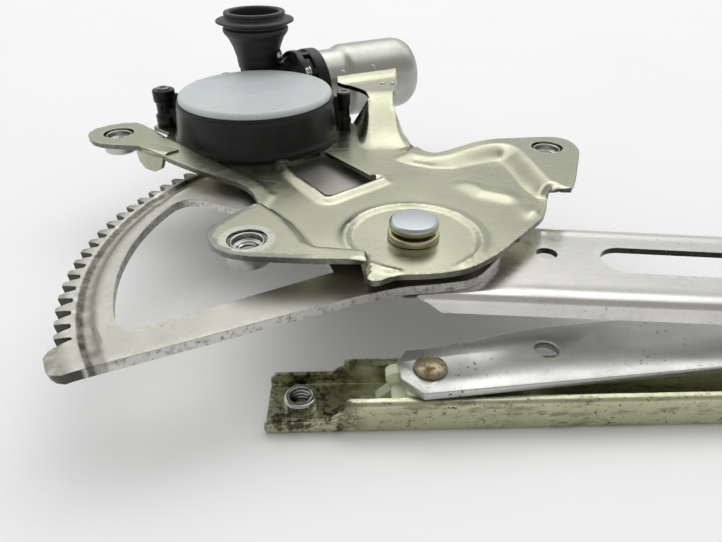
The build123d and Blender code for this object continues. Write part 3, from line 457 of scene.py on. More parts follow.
def set_world():
    """Pale room: bright low and behind, darker above the camera's side, near white when seen."""
    world = bpy.data.worlds.new("studio")
    bpy.context.scene.world = world
    n = Nodes(world)
    height, depth = (n.part(n.coords["Generated"], axis) for axis in "ZY")
    room = n.node("ValToRGB", {"Fac": height})
    stops = room.color_ramp.elements
    for position in list(ROOM)[1:-1]:
        stops.new(position)
    for stop, colour in zip(stops, ROOM.values()):
        stop.color = (*colour, 1.0)
    front = n.times(n.ramp(depth, 0.34, -0.14), n.ramp(height, 0.08, 0.34))
    lit = n.tree.nodes["Background"]
    n.feed(lit.inputs["Color"], n.mix(front, room.outputs["Color"], DARK_FRONT))
    n.feed(lit.inputs["Strength"], ROOM_STRENGTH)
    seen = n.node("Background", {"Color": SEEN_ROOM})
    rays = n.node("LightPath").outputs["Is Camera Ray"]
    blend = n.node("MixShader", {0: rays, 1: lit.outputs[0], 2: seen.outputs[0]})
    n.feed(n.tree.nodes["World Output"].inputs["Surface"], blend.outputs[0])


def set_lamp(name, at, target, size, power, colour=(1, 1, 1)):
    """Soft square lamp turned to a target."""
    data = bpy.data.lights.new(name, "AREA")
    data.shape = "RECTANGLE"
    data.size, data.size_y = size
    data.energy = power
    data.color = colour
    lamp = link(bpy.data.objects.new(name, data))
    lamp.location = place(*at)
    direction = place(*target) - place(*at)
    lamp.rotation_euler = direction.to_track_quat("-Z", "Y").to_euler()


set_camera()
set_floor()
set_world()
set_lamp("window_light", (-600, 1240, 1800), (0, 40, 20), (3.0, 1.6), 9.5, (1.0, 1.0, 0.99))
set_lamp("ceiling_light", (640, 840, 2100), (30, 0, 20), (2.2, 2.2), 9.5)
bpy.context.scene.view_settings.view_transform = "Standard"

# ---- plan lines and pressed sheets --------------------------------------------------------

SHEET_STEP = 1.1


def smoothstep(t):
    """Soft step from 0 to 1, for arrays."""
    t = np.clip(t, 0.0, 1.0)
    return t * t * (3 - 2 * t)


def fall(gap, start, width):
    """Soft step from 1 down to 0 over a width past a start, for arrays."""
    return 1 - smoothstep((gap - start) / width)


def bell(gap, width):
    """Bell curve, for arrays."""
    return np.exp(-((gap / width) ** 2))


def lip(gap, reach):
    """Curl that is steepest at an edge and dies out at its reach, for arrays."""
    return (1 - np.clip(gap / reach, 0, 1)) ** 2


def runs(line, closed=True):
    """Neighbouring points of a line, in pairs."""
    return zip(line, line[1:] + line[:1] if closed else line[1:])


def corners(points):
    """Each corner of a closed line, with the runs back and on from it."""
    p = [np.array(q, float) for q in points]
    return [(here, p[k - 1] - here, p[(k + 1) % len(p)] - here) for k, here in enumerate(p)]


def bend(first, corner, last, shares):
    """Curve that leaves one place for a corner and turns there to another."""
    return [tuple((1 - t) ** 2 * first + 2 * t * (1 - t) * corner + t**2 * last) for t in shares]


def curve(points, step=1.2):
    """Smooth open line through plan points, at even steps."""
    p = [np.array(q, float) for q in points]
    ends = [2 * p[0] - p[1], *p, 2 * p[-1] - p[-2]]
    line = []
    for a, b, c, d in zip(ends, ends[1:], ends[2:], ends[3:]):
        count = max(1, int(round(np.linalg.norm(c - b) / step)))
        bow, twist = 2 * a - 5 * b + 4 * c - d, 3 * b - a - 3 * c + d
        for t in (k / count for k in range(count)):
            line.append(tuple(0.5 * (2 * b + (c - a) * t + bow * t**2 + twist * t**3)))
    return line + [tuple(p[-1])]


def straight(points, step=1.2, closed=True):
    """Straight-sided line through plan points, at even steps."""
    line = []
    for a, b in runs(points, closed):
        count = max(1, int(round(math.dist(a, b) / step)))
        line += [(a[0] + (b[0] - a[0]) * k / count, a[1] + (b[1] - a[1]) * k / count) for k in range(count)]
    return line if closed else line + [points[-1]]


def rounded(points, radius, step=1.0):
    """Closed outline with its corners rounded by arcs."""
    line = []
    for here, back, on in corners(points):
        far_back, far_on = np.linalg.norm(back), np.linalg.norm(on)
        back, on = back / far_back, on / far_on
        half = math.acos(max(-1.0, min(1.0, float(back @ on)))) / 2
        cut = min(radius / math.tan(half), 0.45 * far_back, 0.45 * far_on)
        line += bend(here + back * cut, here, here + on * cut, np.linspace(0, 1, 6))
    return straight(line, step)


def eased(points, radius, closed=True):
    """Line whose corners are rounded, each by three short runs."""
    line = []
    for k, (here, *sides) in enumerate(corners(points)):
        if closed or 0 < k < len(points) - 1:
            reach = [np.linalg.norm(side) for side in sides]
            first, last = (here + s * (min(radius, 0.4 * r) / max(r, 1e-9)) for s, r in zip(sides, reach))
            line += bend(first, here, last, (0, 0.33, 0.67, 1))
        else:
            line.append(tuple(here))
    return line


def circle(centre, radius, step=0.8):
    """Closed round outline."""
    count = max(16, int(2 * math.pi * radius / step))
    return [polar(radius, 360 * k / count, centre) for k in range(count)]


def arc(radius, start, end, centre, step=1.2):
    """Open round line between two angles."""
    count = max(2, int(abs(math.radians(end - start)) * radius / step))
    return [polar(radius, start + (end - start) * k / count, centre) for k in range(count + 1)]


def inside(points, outline):
    """Which plan points lie in a closed outline."""
    x, y = points[:, 0], points[:, 1]
    hit = np.zeros(len(points), bool)
    for (x1, y1), (x2, y2) in runs(outline):
        if y1 != y2:
            hit ^= ((y1 > y) != (y2 > y)) & (x < (x2 - x1) * (y - y1) / (y2 - y1) + x1)
    return hit


def nearest(points, a, b):
    """Share along a run where it passes each plan point nearest, and the distance there."""
    a = np.array(a)
    run = np.array(b) - a
    t = np.clip(((points - a) @ run) / max(run @ run, 1e-12), 0, 1)
    return t, np.linalg.norm(points - a - t[:, None] * run, axis=1)


def distance(points, line, closed=True):
    """Distance of plan points from a line."""
    gap = np.full(len(points), np.inf)
    for a, b in runs(line, closed):
        gap = np.minimum(gap, nearest(points, a, b)[1])
    return gap


def outside_by(points, outline):
    """Distance of plan points outside an outline, zero within it."""
    return np.where(inside(points, outline), 0.0, distance(points, outline))


def on_sheet(points, outline, holes, margin=0.0):
    """Which plan points lie in an outline and out of its holes, off their edges by a margin."""
    kept = inside(points, outline)
    for hole in holes:
        kept &= ~inside(points, hole)
    for line in (outline, *holes) if margin else ():
        kept &= distance(points, line) > margin
    return kept


def even_grid(outline, step):
    """Plan points in staggered rows over an outline."""
    low, high = np.min(outline, axis=0), np.max(outline, axis=0)
    rows = enumerate(np.arange(low[1], high[1], step * 0.87))
    return [(x, y) for k, y in rows for x in np.arange(low[0] + (k % 2) * step / 2, high[0], step)]


def sheet(name, node, outline, holes, form, thickness, step=SHEET_STEP, angle=40.0, grid=None,
          stands_for=True):
    """Pressed piece: a flat outline with holes, brought to its form and thickened below."""
    grid = np.array(grid or even_grid(outline, step))
    points, edges = [], []
    for line in (outline, *holes):
        first, count = len(points), len(line)
        points += [Vector(p) for p in line]
        edges += [(first + k, first + (k + 1) % count) for k in range(count)]
    points += [Vector(p) for p in grid[on_sheet(grid, outline, holes, step * 0.45)]]
    verts, _, faces, *_ = delaunay_2d_cdt(points, edges, [], 0, 1e-5)
    plan = np.array([tuple(v) for v in verts])
    kept = on_sheet(np.array([plan[list(f)].mean(axis=0) for f in faces]), outline, holes)
    mesh = bpy.data.meshes.new(name)
    where = [place(*point) for point in form(plan)]
    mesh.from_pydata(where, [], [tuple(f) for f, k in zip(faces, kept) if k])
    bm = bmesh.new()
    bm.from_mesh(mesh)
    rim = bm.verts.layers.float.new("rim")
    for vert, gap in zip(bm.verts, distance(plan, outline)):
        vert[rim] = gap
    bmesh.ops.delete(bm, geom=[v for v in bm.verts if not v.link_faces], context="VERTS")
    bmesh.ops.recalc_face_normals(bm, faces=bm.faces)
    if sum(f.normal.z for f in bm.faces) < 0:
        bmesh.ops.reverse_faces(bm, faces=bm.faces)
    thicken(bm, thickness * MM)
    bm.to_mesh(mesh)
    bm.free()
    smooth(mesh, angle)
    new_piece(name, mesh, node, stands_for=stands_for)


def thicken(bm, depth):
    """Closes an open sheet into a solid below it, with a cut edge whose corners are broken."""
    bm.normal_update()
    faces = list(bm.faces)
    border = [e for e in bm.edges if len(e.link_faces) == 1]
    lower = {v: bm.verts.new(v.co - v.normal * depth) for v in list(bm.verts)}
    rim = bm.verts.layers.float["rim"]
    for above, below in lower.items():
        below[rim] = above[rim]
    for face in faces:
        bm.faces.new([lower[v] for v in reversed(face.verts)])
    cut = bm.faces.layers.float.new("cut_edge")
    for edge in border:
        a, b = edge.verts
        if edge.link_loops[0].vert is not a:
            a, b = b, a
        bm.faces.new([b, a, lower[a], lower[b]])[cut] = 1.0
    bm.normal_update()
    corner = [e for e in bm.edges if len({f[cut] > 0.5 for f in e.link_faces}) == 2]
    bmesh.ops.bevel(bm, geom=corner, offset=abs(depth) * 0.13, segments=2, affect="EDGES", clamp_overlap=True)
    bmesh.ops.recalc_face_normals(bm, faces=bm.faces)


# ---- base plate ---------------------------------------------------------------------------

FRONT_EAR_RIM = [
    (-15.6, -20.2), (-23.0, -19.7), (-33.0, -19.2), (-43.0, -18.3), (-50.5, -17.2), (-56.5, -14.8),
    (-61.2, -10.0), (-63.2, -3.0), (-60.5, 3.6), (-55.4, 10.4), (-50.6, 16.0),
]
FRONT_EAR_CREASE = [
    (-49.6, 15.7), (-42.6, 6.5), (-37.8, -3.0), (-34.8, -9.6), (-30.2, -13.0), (-15.6, -15.4),
]
LEFT_LOW_EDGE = [
    (-104.2, 69.4), (-94.6, 62.6), (-85.4, 55.6), (-75.6, 49.0), (-66.0, 43.6), (-59.4, 39.2),
    (-54.6, 33.0), (-51.6, 25.0), (-50.4, 20.0),
]
LEFT_EAR_RIM = [
    (-108.8, 93.6), (-112.6, 96.6), (-117.6, 96.4), (-123.0, 93.6), (-127.8, 89.0), (-128.7, 84.4),
    (-127.2, 78.8), (-123.2, 73.6), (-117.6, 70.6), (-110.4, 69.8),
]
LEFT_TOP_EDGE = [
    (-96.0, 80.0), (-89.2, 74.0), (-80.0, 65.4), (-68.7, 54.9), (-59.0, 46.6), (-52.9, 39.6),
    (-48.0, 30.5),
]
RIGHT_EAR_RIM = [
    (57.2, 24.4), (60.6, 30.5), (65.4, 42.6), (70.8, 57.0), (71.6, 63.5), (70.6, 69.6), (66.4, 73.2),
    (56.5, 73.6), (45.4, 72.8),
]
WINDOW = [(-45.8, 58.2), (-29.8, 72.4), (-8.6, 43.0), (-27.2, 28.2)]
RECESS = [
    (-88, 77), (-79, 68.4), (-68, 57.4), (-58, 49.0), (-51.6, 43), (-48.0, 38), (-47.6, 52), (-54, 64),
    (-68, 76), (-84, 84),
]
EAR_KNUCKLES = ((34.0, 45.0, 5.4, 6.6, -1.9), (43.0, 14.0, 3.4, 5.0, 1.2), (45.0, 25.5, 2.8, 6.0, -1.3))
REAR_SHELF = [
    (1.2, 106.0), (2.4, 112.0), (4.2, 120.0), (4.5, 128.0), (4.5, 137.6), (-10.0, 130.6), (-24.0, 124.0),
    (-24.0, 120.6), (-18.6, 117.6), (-14.2, 113.2), (-11.4, 108.6), (-9.8, 103.0),
]
FRONT_LIP = [
    (-4.5, -21.6), (2.3, -21.3), (9.0, -20.3), (15.2, -18.1), (24.0, -11.3), (32.4, -2.2), (38.8, 5.2),
    (43.2, 10.4),
]
TURNED_CORNER = [(45.2, 13.2), (47.6, 18.6), (49.6, 25.0)]
BACK_RIM = [(34.0, 70.4), (25.8, 67.0), (18.6, 63.6), (14.2, 63.0)]
FOLD_X = -15.6
PIVOT_HOLE_R = 7.6
GEAR_HOLE_R = 11.8
NUT_HOLE_R = 6.15
SCREW_HOLE_R = 2.3
HOUSING_R = 36.0
HOUSING_RIM = HOUSING_R + 4.0
HOUSING_LOBES = ((38.0, 7.0), (38.0, 118.0), (44.5, 164.0))
LOBE_R = 5.0


def housing_rim():
    """Plate's edge around the gear housing, with a lobe at each of its screws."""
    rim = []
    for radius, angle in HOUSING_LOBES:
        steps = ((HOUSING_RIM, -15), (radius + LOBE_R, -6), (radius + LOBE_R, 6), (HOUSING_RIM, 15))
        rim += [polar(out, angle + turn, GEAR) for out, turn in steps]
    rim = [polar(43.0, 14.0, GEAR)] + rim[3:4] + arc(HOUSING_RIM, 28, 96, GEAR, 8.0) + rim[4:]
    return rim + arc(HOUSING_RIM, 184, 197, GEAR, 4.0)


def plate_outline():
    """Whole stamped outline, anticlockwise from the fold at the front ear's right end."""
    outline = curve([(-15.4, -23.2), (-13.8, -24.6), (-11.4, -24.2), (-8.6, -22.6)] + FRONT_LIP)
    outline += straight(TURNED_CORNER + [(50.9, 27.6), (53.8, 25.0)], closed=False)
    outline += curve(RIGHT_EAR_RIM) + curve([(42.4, 72.6)] + BACK_RIM + [(10.4, 66.4), (7.6, 72.4)])
    outline += curve([(6.6, 79.0), (5.6, 86.0), (2.6, 92.4), (0.9, 97.0), (0.7, 104.0), (1.6, 109.0)])
    outline += curve(REAR_SHELF[:4]) + straight(REAR_SHELF[4:7], closed=False) + curve(REAR_SHELF[7:])
    outline += straight(housing_rim(), closed=False)
    return outline + curve(LEFT_EAR_RIM) + curve(LEFT_LOW_EDGE) + curve(FRONT_EAR_RIM[::-1])


def climb(points, line, low, high):
    """Height along a line, from one end's value to the other's, for plan points near it."""
    passed = np.cumsum([0.0] + [math.dist(a, b) for a, b in runs(line, False)])
    best, along = np.full(len(points), np.inf), np.zeros(len(points))
    for (a, b), start, end in zip(runs(line, False), passed, passed[1:]):
        t, gap = nearest(points, a, b)
        along = np.where(gap < best, (start + t * (end - start)) / passed[-1], along)
        best = np.minimum(best, gap)
    return low + (high - low) * smoothstep(along)


def raised(points, outline, top, ramp):
    """Top within an outline that eases down to the dish outside it."""
    return DISH_Z + (top - DISH_Z) * fall(outside_by(points, outline), 0.0, ramp)


def plate_form(points):
    """Stamped plate's top surface over plan points."""
    x, y = points[:, 0], points[:, 1]

    def near(line):
        return distance(points, line, closed=False)

    # bead around the pivot
    r = np.hypot(x, y)
    z = DISH_Z + bell(r - 21.4, 1.5) - 0.5 * fall(r, 19.4, 1.4) * smoothstep((r - PIVOT_HOLE_R) / 3.0)
    # rolled front rim
    rolled = near([(-15.4, -23.2), (-11.4, -24.2)] + FRONT_LIP + [(48.0, 20.0)])
    z = z - 2.6 * lip(rolled, 3.4) * smoothstep((46.0 - x) / 12.0)
    # window border
    border = near(WINDOW[2:] + WINDOW[:1])
    z = z + 1.5 * fall(border, 1.8, 3.6) - 0.9 * fall(border, 0.0, 1.8)
    # recess behind the left strip
    z = z - 2.4 * fall(outside_by(points, RECESS), 0.0, 2.8)
    # valley in front of the back rim, which rises to the right ear
    z = z - 1.9 * bell(near([(2.0, 56.0), (11.0, 51.4), (19.0, 47.0), (25.0, 43.6)]), 3.6)
    crest = climb(points, [(8.0, 62.0), (42.0, 72.0)], 37.8, EAR_Z)
    z = z + (crest - z) * fall(near([(10.0, 65.0)] + BACK_RIM[::-1] + [(46.0, 73.0)]), 4.0, 8.0)
    # right ear: flat top that falls steeply to the dish, with a curved ridge, knuckles and dents
    flat = [(45.0, 72.6), (49.0, 60.0), (50.4, 50.0), (51.6, 38.0), (52.4, 30.0), (57.2, 24.4)]
    flat += [(74.0, 57.0), (74.0, 76.0), (45.0, 76.0)]
    z = z + np.maximum(EAR_Z - z, 0) * fall(outside_by(points, flat), 0.4, 8.4)
    z = z + 0.95 * bell(near([(23.5, 45.0), (24.6, 38.0), (28.6, 31.4), (36.0, 27.4)]), 3.8)
    for cx, cy, wide, deep, rise in EAR_KNUCKLES:
        z = z + rise * bell(x - cx, wide) * bell(y - cy, deep)
    # edge turned down between the front rim and the right ear
    turned = near(FRONT_LIP[-2:] + TURNED_CORNER + [(50.6, 27.0)])
    z = z - 2.8 * lip(turned, 3.6) * smoothstep((x - 36.0) / 6.0)
    # front ear, which ends at the fold
    ear = FRONT_EAR_RIM[::-1] + [(FOLD_X, -20.4)] + FRONT_EAR_CREASE[::-1]
    lift = raised(points, ear, EAR_Z, 5.2) - DISH_Z
    z = np.maximum(z, DISH_Z + lift * np.clip(1 - (x - FOLD_X) / 1.3, 0, 1))
    # folded corner below the front ear's right end
    folded = (x < -14.6) & (x > -27.0) & (y < -19.9)
    z = np.where(folded, np.minimum(z, EAR_Z - 2.4 * (-19.9 - y)), z)
    # left strip and ear
    strip = LEFT_EAR_RIM[:1] + LEFT_TOP_EDGE + [(-50.4, 20.0)] + LEFT_LOW_EDGE[::-1] + LEFT_EAR_RIM[::-1]
    spine = [(-116.0, 83.5), (-100.0, 74.0), (-86.0, 63.0), (-70.0, 50.5), (-58.0, 42.0), (-51.0, 28.0)]
    z = np.maximum(z, raised(points, strip, climb(points, spine, EAR_Z, DISH_Z + 0.4), 3.0))
    # rear strip that climbs to its shelf
    rear = [(-8.6, 70.0), (-9.4, 80.0), (-9.6, 102.0)] + REAR_SHELF[::-1]
    rear += [(0.8, 98.0), (0.5, 88.0), (2.6, 74.0), (3.0, 68.0)]
    top = DISH_Z + (SHELF_Z - DISH_Z) * smoothstep((y - 72.0) / 38.0)
    z = np.maximum(z, raised(points, rear, top, 6.4))
    # saddle that turns up against the motor
    z = z + 2.6 * lip(near([(-24.0, 124.0), (4.5, 137.6)]), 7.0) * (y > 108.0)
    # slight waviness of the pressing
    z = z + 0.05 * np.sin(x * 0.21 + 1.0) * np.cos(y * 0.17)
    return np.column_stack([x, y, z])


def make_base_plate():
    """Stamped plate with its ears, strips, shelf, bead, window and rolled rim."""
    holes = [rounded(WINDOW, 2.6), circle((0, 0), PIVOT_HOLE_R), circle(GEAR, GEAR_HOLE_R)]
    holes += [circle(ear, NUT_HOLE_R) for ear in (FRONT_EAR, LEFT_EAR, RIGHT_EAR)]
    holes += [circle(polar(*lobe, GEAR), SCREW_HOLE_R) for lobe in HOUSING_LOBES]
    sheet("base_plate_pressing", "base_plate", plate_outline(), holes, plate_form, PLATE_T, angle=38.0)


# ---- turned, extruded and threaded parts --------------------------------------------------

THREAD_DEPTH = 0.5
THREAD_SEGMENTS = 40
UP = Vector((0, 0, 1))
MOTOR = Vector((math.cos(WORM_ANGLE), math.sin(WORM_ANGLE), 0))


def spokes(axis, count):
    """Unit directions around an axis, in equal steps of one turn."""
    side = axis.orthogonal().normalized()
    other = axis.cross(side)
    turns = [2 * math.pi * k / count for k in range(count)]
    return [side * math.cos(a) + other * math.sin(a) for a in turns]


def ring_faces(bm, one, two, closed=True):
    """Faces between two rows of corners, either of which may be a single pole."""
    count = max(len(one), len(two))
    for k in range(count if closed else count - 1):
        corners = [one[k % len(one)], one[(k + 1) % len(one)], two[(k + 1) % len(two)], two[k % len(two)]]
        corners = list(dict.fromkeys(corners))
        if len(corners) > 2:
            bm.faces.new(corners)


class Body:
    """A mesh put together from turned and extruded parts and threads."""

    def __init__(self):
        self.bm = bmesh.new()

    def turned(self, profile, at, axis=UP, ease=0.3, segments=64, closed=True):
        """Profile of (radius, height) turned about an axis through a place."""
        around = spokes(axis, segments)
        rows = []
        for radius, height in eased(profile, ease, closed):
            centre = place(*at) + axis * (height * MM)
            row = around if radius > 1e-4 else around[:1]
            rows.append([self.bm.verts.new(centre + spoke * (radius * MM)) for spoke in row])
        for one, two in runs(rows, closed):
            ring_faces(self.bm, one, two)
        return self

    def block(self, outline, low, high, edge, at, turn=None):
        """Outline raised between two heights, with rounded rims, turned about a place."""
        part = bmesh.new()
        floor = [part.verts.new((x * MM, y * MM, low * MM)) for x, y in outline]
        roof = [part.verts.new((x * MM, y * MM, high * MM)) for x, y in outline]
        part.faces.new(floor[::-1])
        part.faces.new(roof)
        ring_faces(part, floor, roof)
        bmesh.ops.recalc_face_normals(part, faces=part.faces)
        rims = [e for e in part.edges if (e.verts[0] in floor) == (e.verts[1] in floor)]
        bmesh.ops.bevel(part, geom=rims, offset=edge * MM, segments=3, affect="EDGES", clamp_overlap=True)
        where = Matrix.Translation(place(*at)) @ (turn or Matrix.Identity(3)).to_4x4()
        bmesh.ops.transform(part, matrix=where, verts=part.verts)
        self.take(part)

    def thread(self, at, low, high, radius):
        """Helical groove outside a radius, between two heights."""
        around = spokes(UP, THREAD_SEGMENTS)
        rows = []
        for step in range(int(2 * (high - low) / THREAD_PITCH) + 3):
            row = []
            for k, spoke in enumerate(around + around[:1]):
                rise = (step / 2 + k / THREAD_SEGMENTS - 1) * THREAD_PITCH
                height = min(high, max(low, low + rise))
                out = (radius + THREAD_DEPTH * (step % 2)) * MM
                row.append(self.bm.verts.new(place(*at) + UP * (height * MM) + spoke * out))
            rows.append(row)
        for one, two in runs(rows, False):
            ring_faces(self.bm, one, two, closed=False)

    def take(self, part):
        """Adds another mesh under construction."""
        mesh = bpy.data.meshes.new("part")
        part.to_mesh(mesh)
        part.free()
        self.bm.from_mesh(mesh)
        bpy.data.meshes.remove(mesh)

    def piece(self, name, node, finish=None, angle=34.0, stands_for=True):
        """The finished mesh as a piece of the scene."""
        bmesh.ops.recalc_face_normals(self.bm, faces=self.bm.faces)
        mesh = bpy.data.meshes.new(name)
        self.bm.to_mesh(mesh)
        self.bm.free()
        smooth(mesh, angle)
        new_piece(name, mesh, node, finish, stands_for)


def turn_z(angle):
    """Rotation about the upright axis, in degrees."""
    return Matrix.Rotation(math.radians(angle), 3, "Z")


def box_outline(width, depth, corner=0.0):
    """Rectangle about zero, with rounded corners if asked."""
    x, y = width / 2, depth / 2
    rectangle = [(-x, -y), (x, -y), (x, y), (-x, y)]
    return eased(rectangle, corner) if corner else rectangle


# ---- fasteners and pivots -----------------------------------------------------------------

HOUSING_TOP = 51.5
THREAD_R = 2.6
RAIL_THREAD_R = 2.8
PIN_R = 4.0
PIN_HEAD_R = 4.75
PIN_FOOT = 3.0


def make_ear_nuts():
    """Clinch nuts: rim in the ear's hole, recess, threaded bore and round body below."""
    body, threads = Body(), Body()
    for x, y in (FRONT_EAR, LEFT_EAR, RIGHT_EAR):
        at = (x, y, EAR_Z)
        section = [(THREAD_R + 0.6, -3.2), (3.7, -2.7), (4.5, -2.5), (4.6, -0.7), (5.0, -0.45), (5.35, -0.8)]
        section += [(5.4, -1.6), (6.1, -1.6), (6.8, -1.85), (6.8, -6.9), (5.9, -7.6)]
        section += [(THREAD_R + 0.7, -7.6), (THREAD_R + 0.6, -6.9)]
        body.turned(section, at, ease=0.2, segments=80)
        threads.thread(at, -7.4, -2.9, THREAD_R)
    threads.piece("ear_nut_threads", "ear_nuts", "threads")
    body.piece("ear_nuts_turned", "ear_nuts")


def make_pivot_pin():
    """Pivot: foot, shank, yellowed collar, dark neck and a flat bevelled head."""
    foot, collar, neck = DISH_Z + 0.1, DISH_Z + 2.5, DISH_Z + 3.5
    stem = [(0, 24.0), (7.4, 24.0), (7.4, 26.0), (6.0, 26.0), (6.0, neck), (0, neck)]
    rim = [(5.0, foot), (8.1, foot), (8.2, foot + 0.9), (8.0, collar - 0.2), (6.2, collar), (5.0, collar)]
    side = [(6.2, neck - 0.3), (7.2, neck - 0.1), (7.72, neck + 0.6), (7.75, neck + 1.7), (7.3, neck + 2.3)]
    side += [(6.2, neck + 2.3)]
    face = [(0, neck + 1.4), (7.4, neck + 1.4), (7.72, neck + 1.75), (7.6, neck + 2.2), (6.9, neck + 2.85)]
    face += [(0, neck + 2.88)]
    for name, finish, profile, ease, segments, closed in (
        ("pivot_shank", "grimy_steel", stem, 0.2, 64, False),
        ("pivot_collar", "yellow_collar", rim, 0.35, 64, True),
        ("pivot_head_side", "yellow_collar", side, 0.3, 96, True),
        ("pivot_head_face", "pivot_head", face, 0.3, 96, False),
    ):
        Body().turned(profile, (0, 0, 0), UP, ease, segments, closed).piece(name, "main_pivot_pin", finish)


def rivet_head(body, at, radius, height, down=False):
    """Domed head with a thin rim."""
    turns = [math.radians(a) for a in range(0, 90, 10)]
    dome = [(radius * math.cos(a), height * (0.22 + 0.78 * math.sin(a))) for a in turns]
    profile = [(0, 0), (radius * 0.97, 0), *dome, (0, height)]
    body.turned(profile, at, -UP if down else UP, ease=0.05, closed=False)


def shank(body, spot, low, high, radius, top=None):
    """Plain round shank between two heights over a plan point."""
    body.turned([(0, low), (radius, low), (radius, high), (0, top or high)], (*spot, 0), closed=False)


def make_rivets():
    """Domed pins at the ends of the equalizer and of the lift arm."""
    body = Body()
    rivet_head(body, (*RAIL_PIN, 14.5), PIN_HEAD_R, 2.4)
    shank(body, RAIL_PIN, PIN_FOOT, 14.6, PIN_R)
    far = (2 * CROSS[0] - RAIL_PIN[0], 0.0)
    rivet_head(body, (*far, 28.6), PIN_HEAD_R + 1.0, 1.6, down=True)
    shank(body, far, 28.5, 41.2, PIN_R, 41.4)
    body.piece("equalizer_rivets", "equalizer_pins")
    end = Body()
    rivet_head(end, (*LIFT_END, 14.0), PIN_HEAD_R, 2.4)
    shank(end, LIFT_END, PIN_FOOT, 14.1, PIN_R)
    end.piece("lift_end_rivet", "lift_end_pin")


def make_screws():
    """Low round-headed screws through the housing's posts."""
    body = Body()
    head = [(0, 51.4), (2.9, 51.4), (2.9, 51.9), (2.4, 52.3), (1.3, 52.35), (1.2, 51.7), (0, 51.7)]
    for lobe in HOUSING_LOBES:
        spot = polar(*lobe, GEAR)
        shank(body, spot, 32.2, HOUSING_TOP, 2.0)
        body.turned(head, (*spot, 0), ease=0.12, closed=False)
    body.piece("housing_screws_turned", "housing_screws", "dark_screw")


# ---- gearbox, connector and motor ---------------------------------------------------------

POST_BORE_R = 2.1
TUBE_R = 10.0
CAN_R = 17.5
CAN_START = 42.0
NECK_END = 58.0


def along_axis(distance):
    """Place on the motor's axis."""
    return (*motor_point(distance), WORM_Z)


def motor_spoke(around):
    """Direction out from the motor's axis, at an angle about it."""
    a = math.radians(around)
    return Vector((-MOTOR.y, MOTOR.x, 0)) * math.cos(a) + UP * math.sin(a)


def make_gear_housing():
    """Black moulding: tapered cup, screw posts, worm tube, motor flange and connector neck."""
    body = Body()
    cup = [(5.1, 0.0), (HOUSING_R, 0.0), (HOUSING_R, 1.6), (35.0, 2.6), (33.8, 14.4), (33.4, 16.0)]
    cup += [(31.8, 16.0), (31.0, 3.0), (5.1, 3.0)]
    body.turned(cup, (*GEAR, DISH_Z), ease=0.5, segments=128)
    body.turned([(5.1, -2.9), (11.4, -2.9), (11.5, 0.6), (5.1, 0.6)], (*GEAR, DISH_Z))
    for lobe, wide in zip(HOUSING_LOBES, (0.62, 0.9, 1.0)):
        post(body, *lobe, wide)
    for angle in (40, 62, 84, 142):
        at = (*polar(34.4, angle, GEAR), DISH_Z)
        body.block(box_outline(2.2, 1.4, 0.3), 0.6, 13.6, 0.4, at, turn_z(angle))
    tube = [(4.9, -18), (8.6, -18), (TUBE_R, -16.6), (TUBE_R, 20), (11.5, 25), (15.6, 29.4), (4.9, 29.4)]
    body.turned(tube, along_axis(0), MOTOR, ease=0.8)
    body.turned([(0, -18.0), (5.2, -18.0), (5.2, -15.5), (0, -15.5)], along_axis(0), MOTOR, closed=False)
    flange = [(12.0, 28.6), (16.8, 28.8), (17.4, 29.8), (17.4, 32.6), (15.9, 33.2), (15.9, 35.6)]
    flange += [(CAN_R, 36.2), (CAN_R, CAN_START), (15.6, CAN_START + 0.4), (12.0, CAN_START)]
    body.turned(flange, along_axis(0), MOTOR, ease=0.5, segments=96)
    for around in (18, 62, 104, 142, 168, 205, 320, 345):
        flange_rib(body, around)
    connector_neck(body)
    body.piece("gear_housing_moulding", "gear_housing")


def post(body, radius, angle, wide):
    """Screw post with a stepped knob and a webbed foot against the cup."""
    spot = polar(radius, angle, GEAR)
    foot = [(5.0, 0.0), (5.0, 4.6), (4.1, 5.4), (4.1, 10.2), (4.9, 10.8), (4.9, 15.6), (4.5, 16.0)]
    section = [(POST_BORE_R, 0.0), *((max(POST_BORE_R, r * wide), z) for r, z in foot), (POST_BORE_R, 16.0)]
    body.turned(section, (*spot, DISH_Z), ease=0.35)
    web = (*polar(radius - 6.0, angle, GEAR), DISH_Z)
    body.block(box_outline(11, 5.4, 0.8), 0.0, 8.6, 0.6, web, turn_z(angle))
    body.block(box_outline(9, 2.4, 0.5), 8.0, 14.4, 0.5, web, turn_z(angle))


def flange_rib(body, around):
    """Lug on the motor flange at an angle about the motor axis."""
    out = motor_spoke(around)
    turn = Matrix((MOTOR, out, MOTOR.cross(out))).transposed()
    centre = Vector(along_axis(34.4)) + out * 16.0
    body.block(box_outline(4.4, 2.6, 0.4), -1.5, 1.5, 0.4, tuple(centre), turn)


def connector_neck(body):
    """Arm and round neck that carry the plug, with upright ribs."""
    x, y = motor_point(18.7, 8.0)
    body.block(box_outline(16.6, 15.9, 1.6), 40.5, 49.5, 0.8, (x, y, 0), turn_z(WORM_TURN))
    neck = [(6.5, 40.2), (8.0, 40.2), (8.5, 41.0), (8.5, 56.6), (8.1, 58.0), (6.5, 58.0)]
    body.turned(neck, (*PLUG, 0), ease=0.5)
    for k in range(10):
        at = (*polar(8.45, 36 * k + 8, PLUG), 0)
        body.block(box_outline(1.2, 1.6, 0.3), 42.0, 51.6, 0.3, at, turn_z(36 * k + 8))
    for along, side in ((27.0, 2.0), (24.0, 7.0)):
        at = (*motor_point(along, side), 0)
        body.block(box_outline(5.0, 3.4, 0.8), 47.0, 56.5, 0.8, at, turn_z(WORM_TURN))


